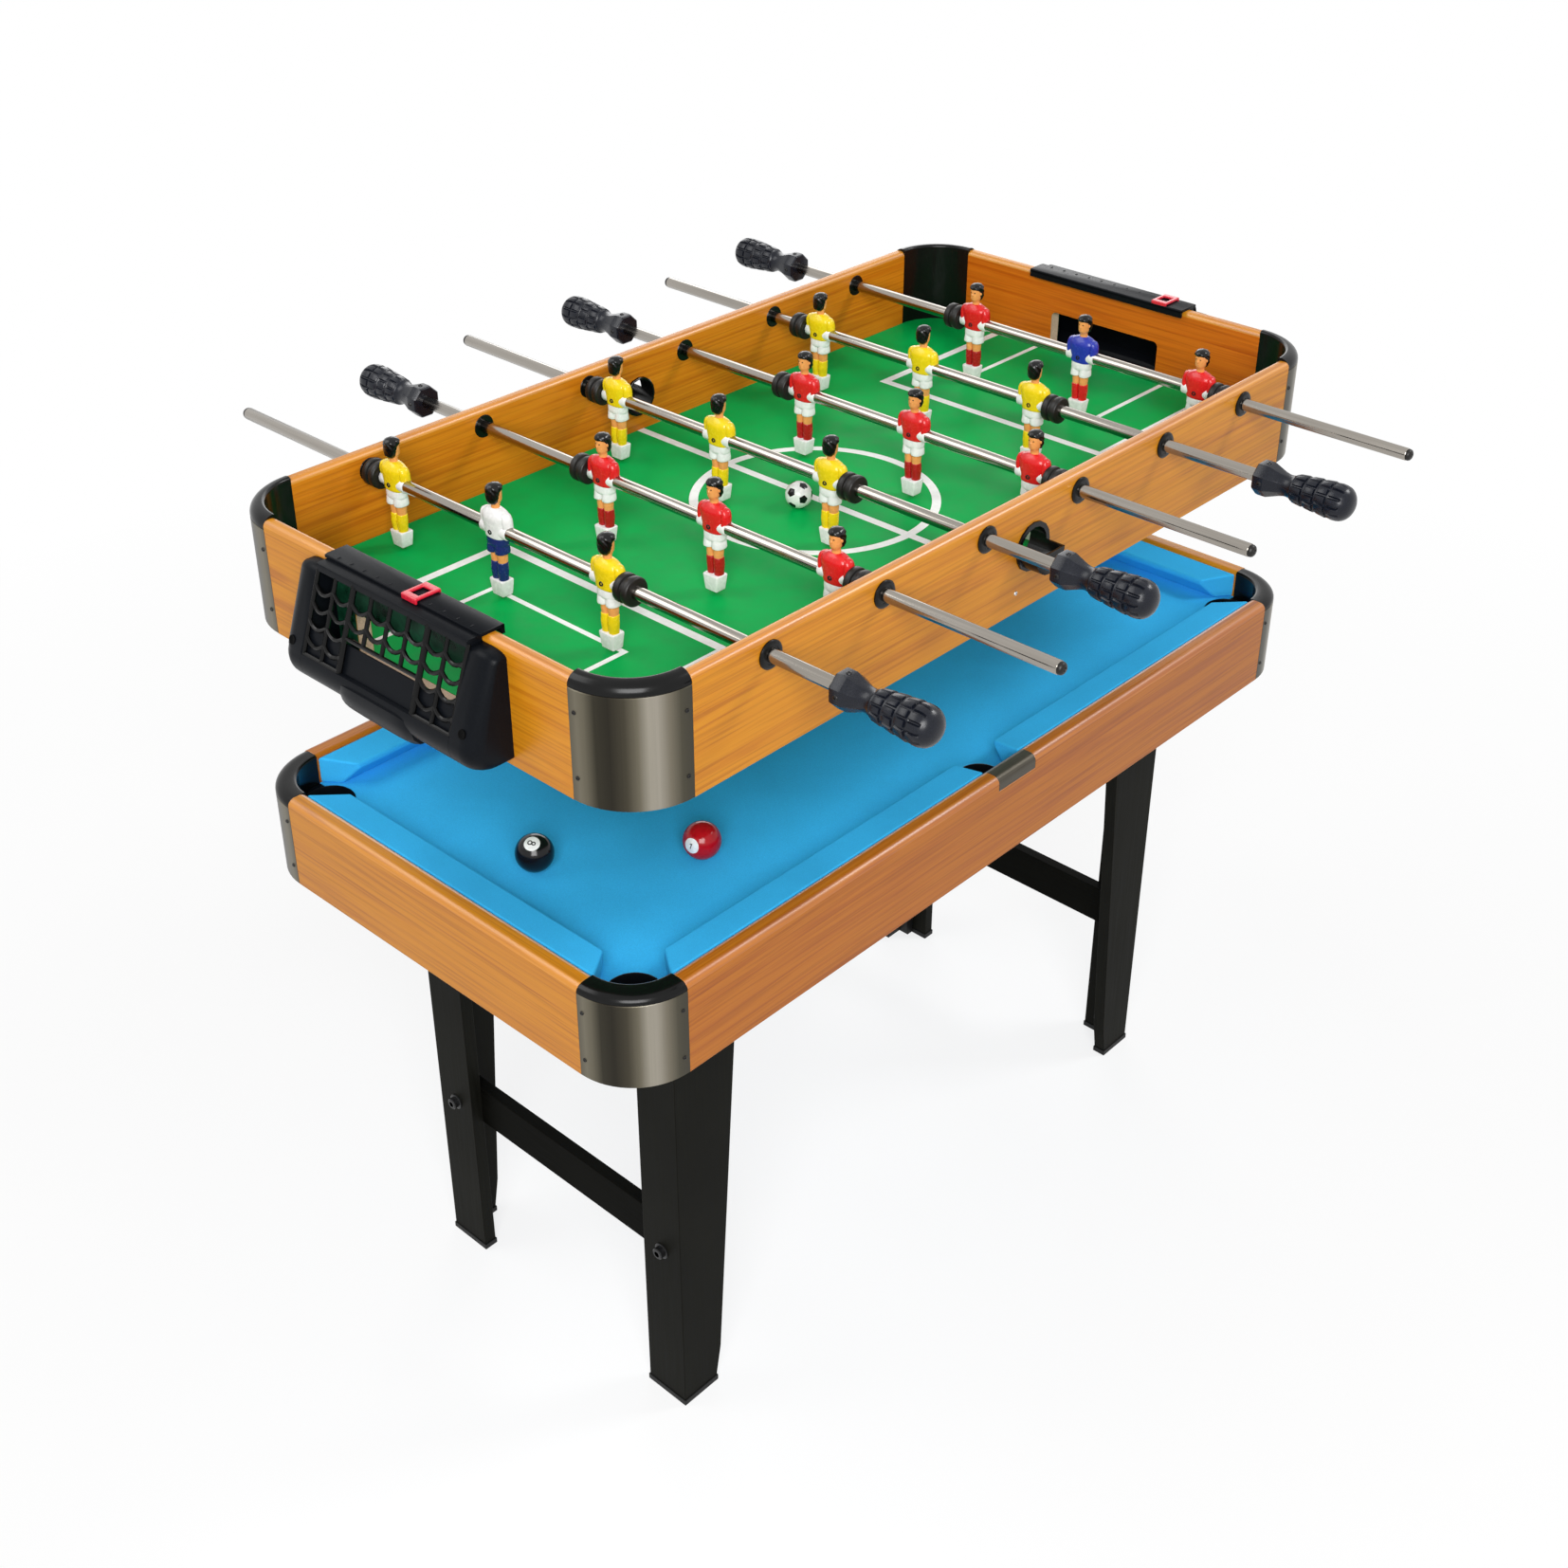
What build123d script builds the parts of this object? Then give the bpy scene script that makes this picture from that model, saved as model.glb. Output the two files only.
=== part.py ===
"""Two-in-one game table: a small pool table on four legs, with a lift-off foosball tray above it.

Millimetres, +Z up, origin on the floor under the middle of the table. X runs along the table,
Y across it, and -Y is the front. The tray is modelled lifted off, straight above the pool table.
"""

import os

from build123d import *

# Pool table frame
table_length = 1070
table_width = 554
table_height = 655
rail_height = 100
rail_thickness = 22
rail_edge_radius = 8
corner_radius = 68
sleeve_thickness = 1.5
lip_height = 9
lip_chamfer = 3

# Pool bed, cushions and pockets
bed_depth = 32
bed_thickness = 16
bed_clearance = 0.3
cushion_width = 34
cushion_back_height = 29
cushion_nose_height = 25
cushion_nose_drop = 6
cushion_undercut = 16
pocket_inner_radius = 25
side_pocket_inner_radius = 22
pocket_wall = 2
pocket_depth = 44
pocket_clearance = 0.3
cushion_pocket_gap = 4
cushion_nose_gap = 12
cushion_post_gap = 1
pocket_sides = 16
side_cap_length = 60
side_cap_drop = 16
side_cap_thickness = 2

# Legs
leg_inset_x = 128
leg_inset_y = 86
leg_board = 15
leg_top_width = 94
leg_bottom_width = 55
leg_return_width = 54
leg_toe_height = 46
leg_toe_inset = 7
foot_height = 7
foot_margin = 1
foot_insert_height = 40
foot_insert_reach = 16
foot_insert_width = 16
foot_insert_bevel = 6
leg_block_height = 48
leg_block_length = 40
leg_block_width = 30
crossbar_height = 50
crossbar_thickness = 14
crossbar_level = 210
bolt_radius = 4
bolt_head_radius = 6.5
bolt_head_height = 6
bolt_socket_radius = 3.5
bolt_socket_depth = 4
bolt_socket_sides = 6
bolt_margin = 12
washer_radius = 9
washer_height = 1.5
bolt_clearance = 0.2

# Foosball tray
tray_inset_x = 15
tray_inset_y = 2
tray_lift = 182
wall_thickness = 15
wall_height = 116
wall_edge_radius = 6
tray_corner_radius = 70
tray_lip_rise = 3
field_height = 25
field_thickness = 6
field_clearance = 0.3

# Rods, bushings and bumpers, with the number of sides of small round pieces
small_sides = 8
rod_count = 6
rod_end_margin = 160
rod_level = 97
rod_radius = 6.35
rod_bore_radius = 5.2
running_clearance = 0.08
bushing_flange_radius = 13.5
bushing_flange_thickness = 3
bushing_barrel_radius = 9.5
fit_clearance = 0.1
bumper_radius = 14
bumper_length = 18
bumper_groove_width = 10
bumper_groove_depth = 2.5
bumper_clearance = 0.4
stop_gap = 1
tip_overhang = 46
handle_reach = 74
plug_length = 7
plug_dome_length = 4
plug_dome_depth = 2
plug_stem = 12
# Where each rod is pushed to at rest, as a share of its travel, from the left end of the table
rod_shift_shares = (0.96, -0.96, 0.9, -0.96, 0.52, -0.98)

# Figures on the rods, with levels measured up from the rod's axis
players_per_rod = 3
player_pitch = 150
hub_radius = 9.5
hub_length = 36
foot_clearance = 4
foot_block_height = 17
foot_half_width = 10.5
toe_reach = 9
toe_height = 13
heel_reach = 7
heel_height = 15
calf_half_width = 8
calf_half_depth = 5.5
thigh_half_width = 9
thigh_half_depth = 6.5
shorts_half_width = 11
shorts_level = -22
waist_level = -10
torso_half_width = 16
chest_level = 13
chest_half_depth = 9
shoulder_level = 20
shoulder_slope = 5
neck_half_width = 5.5
neck_level = 22
jaw_level = 30
head_half_width = 7.5
head_top = 46
crown_height = 5

# Handles
handle_length = 102
handle_collar_length = 24
handle_collar_radius = 17.5
handle_collar_sides = 8
handle_collar_rim = 6
handle_collar_rim_depth = 2.5
handle_collar_slope = 12
handle_collar_slope_depth = 5
handle_neck_radius = 11
handle_sides = 8
handle_grip_radius = 18
handle_ring_count = 3
handle_ring_length = 13.5
handle_ring_growth = 1.2
handle_groove_width = 4.5
handle_groove_depth = 2.2
handle_flare_length = 8
handle_flare_depth = 4
handle_dome_length = 22
handle_dome_slope = 9
handle_dome_depth = 8
handle_socket = 34

# Goals and score keepers
goal_width = 264
goal_depth = 43
goal_top_depth = 16
goal_bottom = 4
goal_belly_level = 36
goal_floor_depth = 22
goal_shell = 3
goal_cheek = 30
goal_cheek_round = 10
goal_window_edge = 5
goal_lip_level = 30
goal_mouth_width = 150
goal_mouth_height = 46
goal_mouth_radius = 6
net_thickness = 2.4
net_columns = 8
net_rows = 5
net_gap_columns = 4
net_gap_rows = 2
net_strand = 3.2
score_rail_length = 212
score_rail_reach = 4
score_rail_thickness = 3
score_rail_lip = 9
score_lip_thickness = 3
slider_length = 20
slider_bar = 4
slider_lip = 2.5
slider_height = 3
slider_clearance = 0.3
slider_left_place = -15
slider_right_place = -75

# Ball feed cups in the long walls
cup_radius = 20
cup_wall = 2
cup_flange = 5
cup_flange_thickness = 2
cup_level = 64
cup_reach = 20
cup_sides = 16

# Places worked out from the sizes above
half_length = table_length / 2
half_width = table_width / 2
rail_bottom = table_height - rail_height
bed_top = table_height - bed_depth
bed_bottom = bed_top - bed_thickness
tray_bottom = table_height + tray_lift
tray_half_length = half_length - tray_inset_x
tray_half_width = half_width - tray_inset_y
tray_inner_half_width = tray_half_width - wall_thickness
field_top = tray_bottom + field_height
wall_top = tray_bottom + wall_height
rod_axis_z = tray_bottom + rod_level
rod_pitch = 2 * (tray_half_length - rod_end_margin) / (rod_count - 1)
rod_places = [i * rod_pitch + rod_end_margin - tray_half_length for i in range(rod_count)]
player_reach = (players_per_rod - 1) / 2 * player_pitch
bumper_reach = player_reach + hub_length / 2 + bumper_clearance + bumper_length
rod_travel = tray_inner_half_width - bumper_reach - stop_gap
tip_reach = tray_half_width + rod_travel + tip_overhang
handle_start = tray_half_width + rod_travel + handle_reach

os.makedirs("parts", exist_ok=True)


def write(builder, name):
    """Label a finished piece and write it to its own file."""
    builder.part.label = name
    export_step(builder.part, f"parts/{name}.step")


def plane_along_x(y, z):
    """Section plane of a piece that runs along X: sketch x is Y, sketch y is Z."""
    return Plane(origin=(0, y, z), x_dir=(0, 1, 0), z_dir=(1, 0, 0))


def plane_along_y(x, z):
    """Section plane of a piece that runs along Y: sketch x is X, sketch y is Z."""
    return Plane(origin=(x, 0, z), x_dir=(1, 0, 0), z_dir=(0, -1, 0))


def bullnose_section(plane, thickness, height, radius):
    """A board's cross-section with both top edges rounded."""
    with BuildSketch(plane, mode=Mode.PRIVATE) as section:
        Rectangle(thickness, height, align=(Align.CENTER, Align.MIN))
        fillet(section.vertices().group_by(Axis.Y)[-1], radius)
    return section.sketch


def quarter_ring(level, centre, outer, inner):
    """Plan of a corner moulding: a quarter ring about a centre in the +X +Y corner."""
    with BuildSketch(Plane.XY.offset(level), mode=Mode.PRIVATE) as ring:
        with Locations(centre):
            Circle(outer)
            Circle(inner, mode=Mode.SUBTRACT)
            Rectangle(outer, outer, align=(Align.MIN, Align.MIN), mode=Mode.INTERSECT)
    return ring.sketch


def corner_posts(reach_x, reach_y, bottom, top, radius, thickness, rise):
    """Four plastic corner mouldings, each with a rounded lip over its metal-look sleeve."""
    centre = (reach_x - radius, reach_y - radius)
    lip_bottom = top - lip_height
    with BuildPart() as posts:
        extrude(quarter_ring(bottom, centre, radius - sleeve_thickness, radius - thickness),
                amount=lip_bottom - bottom)
        extrude(quarter_ring(lip_bottom, centre, radius, radius - thickness),
                amount=lip_height + rise)
        chamfer(posts.edges().group_by(Axis.Z)[-1], lip_chamfer)
        mirror(about=Plane.YZ)
        mirror(about=Plane.XZ)
    return posts


def corner_sleeves(reach_x, reach_y, bottom, top, radius):
    """Four thin quarter-round sleeves on the outside of the corner mouldings."""
    centre = (reach_x - radius, reach_y - radius)
    with BuildPart() as sleeves:
        extrude(quarter_ring(bottom, centre, radius, radius - sleeve_thickness),
                amount=top - lip_height - bottom)
        mirror(about=Plane.YZ)
        mirror(about=Plane.XZ)
    return sleeves


# Pool rails, with a shallow recess in the long ones for the side pocket caps
rail_run_x = half_length - corner_radius
rail_run_y = half_width - corner_radius
rail_centre_y = half_width - rail_thickness / 2
rail_centre_x = half_length - rail_thickness / 2


def side_cap_section(side):
    """Section of a side pocket cap: a skin folded over the top of a long rail."""
    plane = plane_along_x(side * rail_centre_y, rail_bottom)
    with BuildSketch(plane, mode=Mode.PRIVATE) as skin:
        add(bullnose_section(Plane.XY, rail_thickness, rail_height, rail_edge_radius))
        add(bullnose_section(Plane.XY, rail_thickness - 2 * side_cap_thickness,
                             rail_height - side_cap_thickness,
                             rail_edge_radius - side_cap_thickness), mode=Mode.SUBTRACT)
        with Locations((0, rail_height)):
            Rectangle(rail_thickness, side_cap_drop, align=(Align.CENTER, Align.MAX),
                      mode=Mode.INTERSECT)
    return skin.sketch


for name, side in (("rail_front", -1), ("rail_back", 1)):
    with BuildPart() as rail:
        plane = plane_along_x(side * rail_centre_y, rail_bottom)
        extrude(bullnose_section(plane, rail_thickness, rail_height, rail_edge_radius),
                amount=rail_run_x, both=True)
        extrude(side_cap_section(side), amount=side_cap_length / 2, both=True, mode=Mode.SUBTRACT)
    write(rail, name)

for name, side in (("rail_left", -1), ("rail_right", 1)):
    with BuildPart() as rail:
        plane = plane_along_y(side * rail_centre_x, rail_bottom)
        extrude(bullnose_section(plane, rail_thickness, rail_height, rail_edge_radius),
                amount=rail_run_y, both=True)
    write(rail, name)

with BuildPart() as side_pocket_caps:
    for side in (-1, 1):
        extrude(side_cap_section(side), amount=side_cap_length / 2, both=True)
write(side_pocket_caps, "side_pocket_caps")

# Pool corners
write(corner_posts(half_length, half_width, rail_bottom, table_height, corner_radius,
                   rail_thickness, 0), "pool_corner_posts")
write(corner_sleeves(half_length, half_width, rail_bottom, table_height, corner_radius),
      "pool_corner_sleeves")

# Pockets: four in the corners inside the mouldings, two at the middle of the long rails
pocket_outer_radius = pocket_inner_radius + pocket_wall
side_pocket_outer_radius = side_pocket_inner_radius + pocket_wall
corner_room = corner_radius - rail_thickness - pocket_outer_radius - 2 * pocket_clearance
pocket_offset = corner_room / 2 ** 0.5
pocket_x = half_length - corner_radius + pocket_offset
pocket_y = half_width - corner_radius + pocket_offset
side_pocket_y = half_width - rail_thickness - side_pocket_outer_radius - pocket_clearance
corner_pockets = [(sx * pocket_x, sy * pocket_y) for sx in (-1, 1) for sy in (-1, 1)]
side_pockets = [(0, -side_pocket_y), (0, side_pocket_y)]

with BuildPart() as pocket_cups:
    for places, radius in ((corner_pockets, pocket_inner_radius),
                           (side_pockets, side_pocket_inner_radius)):
        with BuildSketch(Plane.XY.offset(bed_top)):
            with Locations(*places):
                RegularPolygon(radius + pocket_wall, pocket_sides)
        extrude(amount=-pocket_depth)
        with BuildSketch(Plane.XY.offset(bed_top)):
            with Locations(*places):
                RegularPolygon(radius, pocket_sides)
        extrude(amount=pocket_wall - pocket_depth, mode=Mode.SUBTRACT)
write(pocket_cups, "pocket_cups")

# Bed board, notched for the corner mouldings and open to the rails at the pockets
bed_half_length = half_length - rail_thickness - bed_clearance
bed_half_width = half_width - rail_thickness - bed_clearance
corner_notch = corner_radius - rail_thickness - bed_clearance
bed_corners = [(sx * bed_half_length, sy * bed_half_width) for sx in (-1, 1) for sy in (-1, 1)]
side_cut_radius = side_pocket_outer_radius + pocket_clearance

with BuildPart() as pool_bed:
    with BuildSketch(Plane.XY.offset(bed_top)):
        Rectangle(2 * bed_half_length, 2 * bed_half_width)
        with Locations(*bed_corners):
            Rectangle(2 * corner_notch, 2 * corner_notch, mode=Mode.SUBTRACT)
        with Locations(*corner_pockets):
            RegularPolygon(pocket_outer_radius + pocket_clearance, pocket_sides,
                           mode=Mode.SUBTRACT)
        with Locations(*side_pockets):
            RegularPolygon(side_cut_radius, pocket_sides, mode=Mode.SUBTRACT)
        with Locations((0, bed_half_width), (0, -bed_half_width)):
            Rectangle(2 * side_cut_radius, 2 * (bed_half_width - side_pocket_y),
                      mode=Mode.SUBTRACT)
    extrude(amount=-bed_thickness)
write(pool_bed, "pool_bed")

# Cushions: slanted ends at the pockets, a sloping top and an undercut nose
cushion_back_y = half_width - rail_thickness
cushion_back_x = half_length - rail_thickness


def cushion_section(plane):
    """Section with its back at sketch x = 0 and its nose towards -x."""
    with BuildSketch(plane, mode=Mode.PRIVATE) as section:
        with BuildLine():
            Polyline((0, 0), (0, cushion_back_height), (-cushion_width, cushion_nose_height),
                     (-cushion_width, cushion_nose_height - cushion_nose_drop),
                     (-cushion_width + cushion_undercut, 0), close=True)
        make_face()
    return section.sketch


with BuildPart() as long_cushion:
    inner_end = side_pocket_outer_radius + cushion_pocket_gap
    outer_end = half_length - corner_radius - cushion_post_gap
    nose_end = pocket_x - pocket_outer_radius - cushion_nose_gap
    with BuildSketch(Plane.XY.offset(bed_top)):
        with BuildLine():
            Polyline((inner_end, cushion_back_y), (outer_end, cushion_back_y),
                     (nose_end, cushion_back_y - cushion_width),
                     (inner_end + cushion_pocket_gap, cushion_back_y - cushion_width), close=True)
        make_face()
    extrude(amount=cushion_back_height)
    extrude(cushion_section(plane_along_x(cushion_back_y, bed_top)), amount=half_length,
            both=True, mode=Mode.INTERSECT)
    mirror(about=Plane.YZ)
    mirror(about=Plane.XZ)

with BuildPart() as end_cushion:
    back_run = half_width - corner_radius - cushion_post_gap
    nose_run = pocket_y - pocket_outer_radius - cushion_nose_gap
    with BuildSketch(Plane.XY.offset(bed_top)):
        with BuildLine():
            Polyline((cushion_back_x, -back_run), (cushion_back_x, back_run),
                     (cushion_back_x - cushion_width, nose_run),
                     (cushion_back_x - cushion_width, -nose_run), close=True)
        make_face()
    extrude(amount=cushion_back_height)
    extrude(cushion_section(plane_along_y(cushion_back_x, bed_top)), amount=half_width,
            both=True, mode=Mode.INTERSECT)
    mirror(about=Plane.YZ)

with BuildPart() as cushions:
    add(long_cushion.part)
    add(end_cushion.part)
write(cushions, "cushions")

# Legs: two boards glued in an L, the wide one tapered towards the foot and cut back at its toe
leg_x = half_length - leg_inset_x
leg_y = half_width - leg_inset_y
bolt_y = leg_y - leg_board - bolt_margin
leg_toe_width = leg_bottom_width - leg_toe_inset

with BuildPart() as leg:
    with BuildSketch(Plane(origin=(0, leg_y, 0), x_dir=(1, 0, 0), z_dir=(0, -1, 0))):
        with BuildLine():
            Polyline((leg_x, foot_height), (leg_x, bed_bottom),
                     (leg_x - leg_top_width, bed_bottom),
                     (leg_x - leg_bottom_width, leg_toe_height),
                     (leg_x - leg_toe_width, foot_height), close=True)
        make_face()
    extrude(amount=leg_board)
    with Locations((leg_x, leg_y, foot_height)):
        Box(leg_board, leg_return_width, bed_bottom - foot_height,
            align=(Align.MAX, Align.MAX, Align.MIN))
    with BuildSketch(plane_along_x(bolt_y, crossbar_level).offset(leg_x)):
        RegularPolygon(bolt_radius + bolt_clearance, small_sides)
    extrude(amount=-leg_board, mode=Mode.SUBTRACT)

for name, flips in (("leg_back_right", ()), ("leg_back_left", (Plane.YZ,)),
                    ("leg_front_right", (Plane.XZ,)), ("leg_front_left", (Plane.YZ, Plane.XZ))):
    piece = leg.part
    for flip in flips:
        piece = mirror(piece, about=flip)
    with BuildPart() as placed_leg:
        add(piece)
    write(placed_leg, name)

# Feet: a sole under both boards and an insert inside the L that narrows towards the floor
with BuildPart() as leg_feet:
    with BuildSketch():
        with Locations((leg_x + foot_margin, leg_y + foot_margin)):
            Rectangle(leg_toe_width + 2 * foot_margin, leg_board + 2 * foot_margin,
                      align=(Align.MAX, Align.MAX))
            Rectangle(leg_board + 2 * foot_margin, leg_return_width + 2 * foot_margin,
                      align=(Align.MAX, Align.MAX))
    extrude(amount=foot_height)
    with BuildSketch(Plane(origin=(0, leg_y - leg_board, 0), x_dir=(1, 0, 0), z_dir=(0, -1, 0))):
        with BuildLine():
            insert_x = leg_x - leg_board
            Polyline((insert_x, 0), (insert_x, foot_insert_height),
                     (insert_x - foot_insert_reach, foot_insert_height),
                     (insert_x - foot_insert_reach + foot_insert_bevel, 0), close=True)
        make_face()
    extrude(amount=foot_insert_width)
    mirror(about=Plane.YZ)
    mirror(about=Plane.XZ)
write(leg_feet, "leg_feet")

# Blocks under the bed, in the corner of each leg, that the legs are screwed to
with BuildPart() as leg_blocks:
    with Locations((leg_x - leg_board, leg_y - leg_board, bed_bottom)):
        Box(leg_block_length, leg_block_width, leg_block_height,
            align=(Align.MAX, Align.MAX, Align.MAX))
    mirror(about=Plane.YZ)
    mirror(about=Plane.XZ)
write(leg_blocks, "leg_blocks")

# Crossbars behind the end faces of each pair of legs, and the bolts that hold them
crossbar_x = leg_x - leg_board

with BuildPart() as crossbars:
    with Locations((crossbar_x, 0, crossbar_level)):
        Box(crossbar_thickness, 2 * (leg_y - leg_board), crossbar_height,
            align=(Align.MAX, Align.CENTER, Align.CENTER))
    for side in (-1, 1):
        with BuildSketch(plane_along_x(side * bolt_y, crossbar_level).offset(crossbar_x)):
            RegularPolygon(bolt_radius + bolt_clearance, small_sides)
        extrude(amount=-crossbar_thickness, mode=Mode.SUBTRACT)
    mirror(about=Plane.YZ)
write(crossbars, "crossbars")

with BuildPart() as leg_bolts:
    face = plane_along_x(bolt_y, crossbar_level).offset(leg_x)
    with BuildSketch(face):
        RegularPolygon(washer_radius, small_sides)
    extrude(amount=washer_height)
    with BuildSketch(face.offset(washer_height)):
        RegularPolygon(bolt_head_radius, small_sides)
    extrude(amount=bolt_head_height)
    with BuildSketch(face.offset(washer_height + bolt_head_height)):
        RegularPolygon(bolt_socket_radius, bolt_socket_sides)
    extrude(amount=-bolt_socket_depth, mode=Mode.SUBTRACT)
    with BuildSketch(face):
        RegularPolygon(bolt_radius, small_sides)
    extrude(amount=-(leg_board + crossbar_thickness))
    mirror(about=Plane.YZ)
    mirror(about=Plane.XZ)
write(leg_bolts, "leg_bolts")

# Tray walls: rod holes and a ball feed hole in the long ones, a goal mouth in the short ones
wall_run_x = tray_half_length - tray_corner_radius
wall_run_y = tray_half_width - tray_corner_radius
wall_centre_y = tray_half_width - wall_thickness / 2
wall_centre_x = tray_half_length - wall_thickness / 2
cup_z = tray_bottom + cup_level

for name, side in (("tray_wall_front", -1), ("tray_wall_back", 1)):
    with BuildPart() as wall:
        plane = plane_along_x(side * wall_centre_y, tray_bottom)
        extrude(bullnose_section(plane, wall_thickness, wall_height, wall_edge_radius),
                amount=wall_run_x, both=True)
        with BuildSketch(Plane(origin=(0, side * wall_centre_y, 0), x_dir=(1, 0, 0),
                               z_dir=(0, -1, 0))):
            with Locations(*[(x, rod_axis_z) for x in rod_places]):
                RegularPolygon(bushing_barrel_radius + fit_clearance, small_sides)
            with Locations((0, cup_z)):
                RegularPolygon(cup_radius + cup_wall + fit_clearance, cup_sides)
        extrude(amount=wall_thickness, both=True, mode=Mode.SUBTRACT)
    write(wall, name)

for name, side in (("tray_wall_left", -1), ("tray_wall_right", 1)):
    with BuildPart() as wall:
        plane = plane_along_y(side * wall_centre_x, tray_bottom)
        extrude(bullnose_section(plane, wall_thickness, wall_height, wall_edge_radius),
                amount=wall_run_y, both=True)
        with BuildSketch(Plane(origin=(side * wall_centre_x, 0, field_top), x_dir=(0, 1, 0),
                               z_dir=(1, 0, 0))) as mouth:
            Rectangle(goal_mouth_width, goal_mouth_height, align=(Align.CENTER, Align.MIN))
            fillet(mouth.vertices().group_by(Axis.Y)[-1], goal_mouth_radius)
        extrude(amount=wall_thickness, both=True, mode=Mode.SUBTRACT)
    write(wall, name)

# Tray corners
write(corner_posts(tray_half_length, tray_half_width, tray_bottom, wall_top, tray_corner_radius,
                   wall_thickness, tray_lip_rise), "tray_corner_posts")
write(corner_sleeves(tray_half_length, tray_half_width, tray_bottom, wall_top,
                     tray_corner_radius), "tray_corner_sleeves")

# Playing field board between the walls
with BuildPart() as playfield:
    with BuildSketch(Plane.XY.offset(field_top)):
        RectangleRounded(2 * (tray_half_length - wall_thickness - field_clearance),
                         2 * (tray_inner_half_width - field_clearance),
                         tray_corner_radius - wall_thickness)
    extrude(amount=-field_thickness)
write(playfield, "playfield")

# Rod bushings: a barrel through the wall with a flange on its outer face
bushing_bore = rod_radius + running_clearance

with BuildPart() as bushing:
    with BuildSketch(Plane.XZ):
        RegularPolygon(bushing_barrel_radius, small_sides)
    extrude(amount=wall_thickness)
    with BuildSketch(Plane.XZ):
        RegularPolygon(bushing_flange_radius, small_sides)
    extrude(amount=-bushing_flange_thickness)
    with BuildSketch(Plane.XZ.offset(-bushing_flange_thickness)):
        RegularPolygon(bushing_bore, small_sides, major_radius=False)
    extrude(amount=bushing_flange_thickness + wall_thickness, mode=Mode.SUBTRACT)

with BuildPart() as rod_bushings:
    for x in rod_places:
        with Locations(Location((x, tray_half_width, rod_axis_z)),
                       Location((x, -tray_half_width, rod_axis_z), (0, 0, 180))):
            add(bushing.part)
write(rod_bushings, "rod_bushings")

# Ball feed cups: a flanged sleeve through the wall with an open scoop outside
with BuildPart() as cup:
    outer_face = Plane(origin=(0, 0, 0), x_dir=(1, 0, 0), z_dir=(0, 1, 0))
    with BuildSketch(outer_face):
        RegularPolygon(cup_radius + cup_wall, cup_sides)
    extrude(amount=-(wall_thickness + cup_flange_thickness))
    with BuildSketch(outer_face):
        RegularPolygon(cup_radius + cup_flange, cup_sides)
    extrude(amount=cup_flange_thickness)
    with BuildSketch(outer_face):
        RegularPolygon(cup_radius + cup_wall, cup_sides)
        Rectangle(2 * (cup_radius + cup_wall), cup_radius + cup_wall,
                  align=(Align.CENTER, Align.MIN), mode=Mode.INTERSECT)
    extrude(amount=cup_reach + cup_wall)
    with BuildSketch(outer_face.offset(cup_reach)):
        RegularPolygon(cup_radius, cup_sides)
    extrude(amount=-(cup_reach + wall_thickness + cup_flange_thickness), mode=Mode.SUBTRACT)

with BuildPart() as ball_cups:
    with Locations(Location((0, tray_half_width, cup_z)),
                   Location((0, -tray_half_width, cup_z), (0, 0, 180))):
        add(cup.part)
write(ball_cups, "ball_cups")

# Goals: a moulded housing with a ball trough, a window for the net and a score rail on top
goal_inner_half = goal_width / 2 - goal_cheek


def goal_point(side, out, up):
    """A point of the goal's end view, measured out from the wall and up from the tray's base."""
    return (side * (tray_half_length + out), tray_bottom + up)


def goal_outline(side, inset, top):
    """End view of the housing, or of the hollow in it when inset by the shell."""
    floor = goal_bottom + inset
    belly = goal_depth - inset
    with BuildSketch(Plane.XZ, mode=Mode.PRIVATE) as outline:
        with BuildLine():
            turn = goal_point(side, goal_floor_depth, floor)
            widest = goal_point(side, belly, goal_belly_level)
            Line(goal_point(side, 0, floor), turn)
            TangentArc(turn, widest, tangent=(side, 0))
            Polyline(widest, goal_point(side, goal_top_depth - inset, top),
                     goal_point(side, 0, top), goal_point(side, 0, floor))
        make_face()
    return outline.sketch


def make_goal(side):
    """One goal housing on the end wall at the given side."""
    with BuildPart() as goal:
        extrude(goal_outline(side, 0, wall_height), amount=goal_width / 2, both=True)
        ends = goal.faces().filter_by(Axis.Y)
        fillet([edge for edge in ends.edges() if abs(edge.center().X) > tray_half_length + goal_shell],
               goal_cheek_round)
        extrude(goal_outline(side, goal_shell, wall_height - goal_shell), amount=goal_inner_half,
                both=True, mode=Mode.SUBTRACT)
        with BuildSketch(Plane(origin=(side * tray_half_length, 0, tray_bottom),
                               x_dir=(0, side, 0), z_dir=(side, 0, 0))):
            with Locations((0, goal_lip_level)):
                Rectangle(2 * goal_inner_half - 2 * goal_window_edge,
                          wall_height - goal_lip_level - 2 * goal_window_edge,
                          align=(Align.CENTER, Align.MIN))
        extrude(amount=goal_depth + goal_shell, mode=Mode.SUBTRACT)
        with BuildSketch(Plane.XZ):
            with BuildLine():
                hook = wall_thickness + slider_clearance
                rail_top = wall_height + score_rail_thickness
                Polyline(goal_point(side, score_rail_reach, wall_height),
                         goal_point(side, score_rail_reach, rail_top),
                         goal_point(side, -hook - score_lip_thickness, rail_top),
                         goal_point(side, -hook - score_lip_thickness, rail_top - score_rail_lip),
                         goal_point(side, -hook, rail_top - score_rail_lip),
                         goal_point(side, -hook, wall_height), close=True)
            make_face()
        extrude(amount=score_rail_length / 2, both=True)
    return goal


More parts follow.
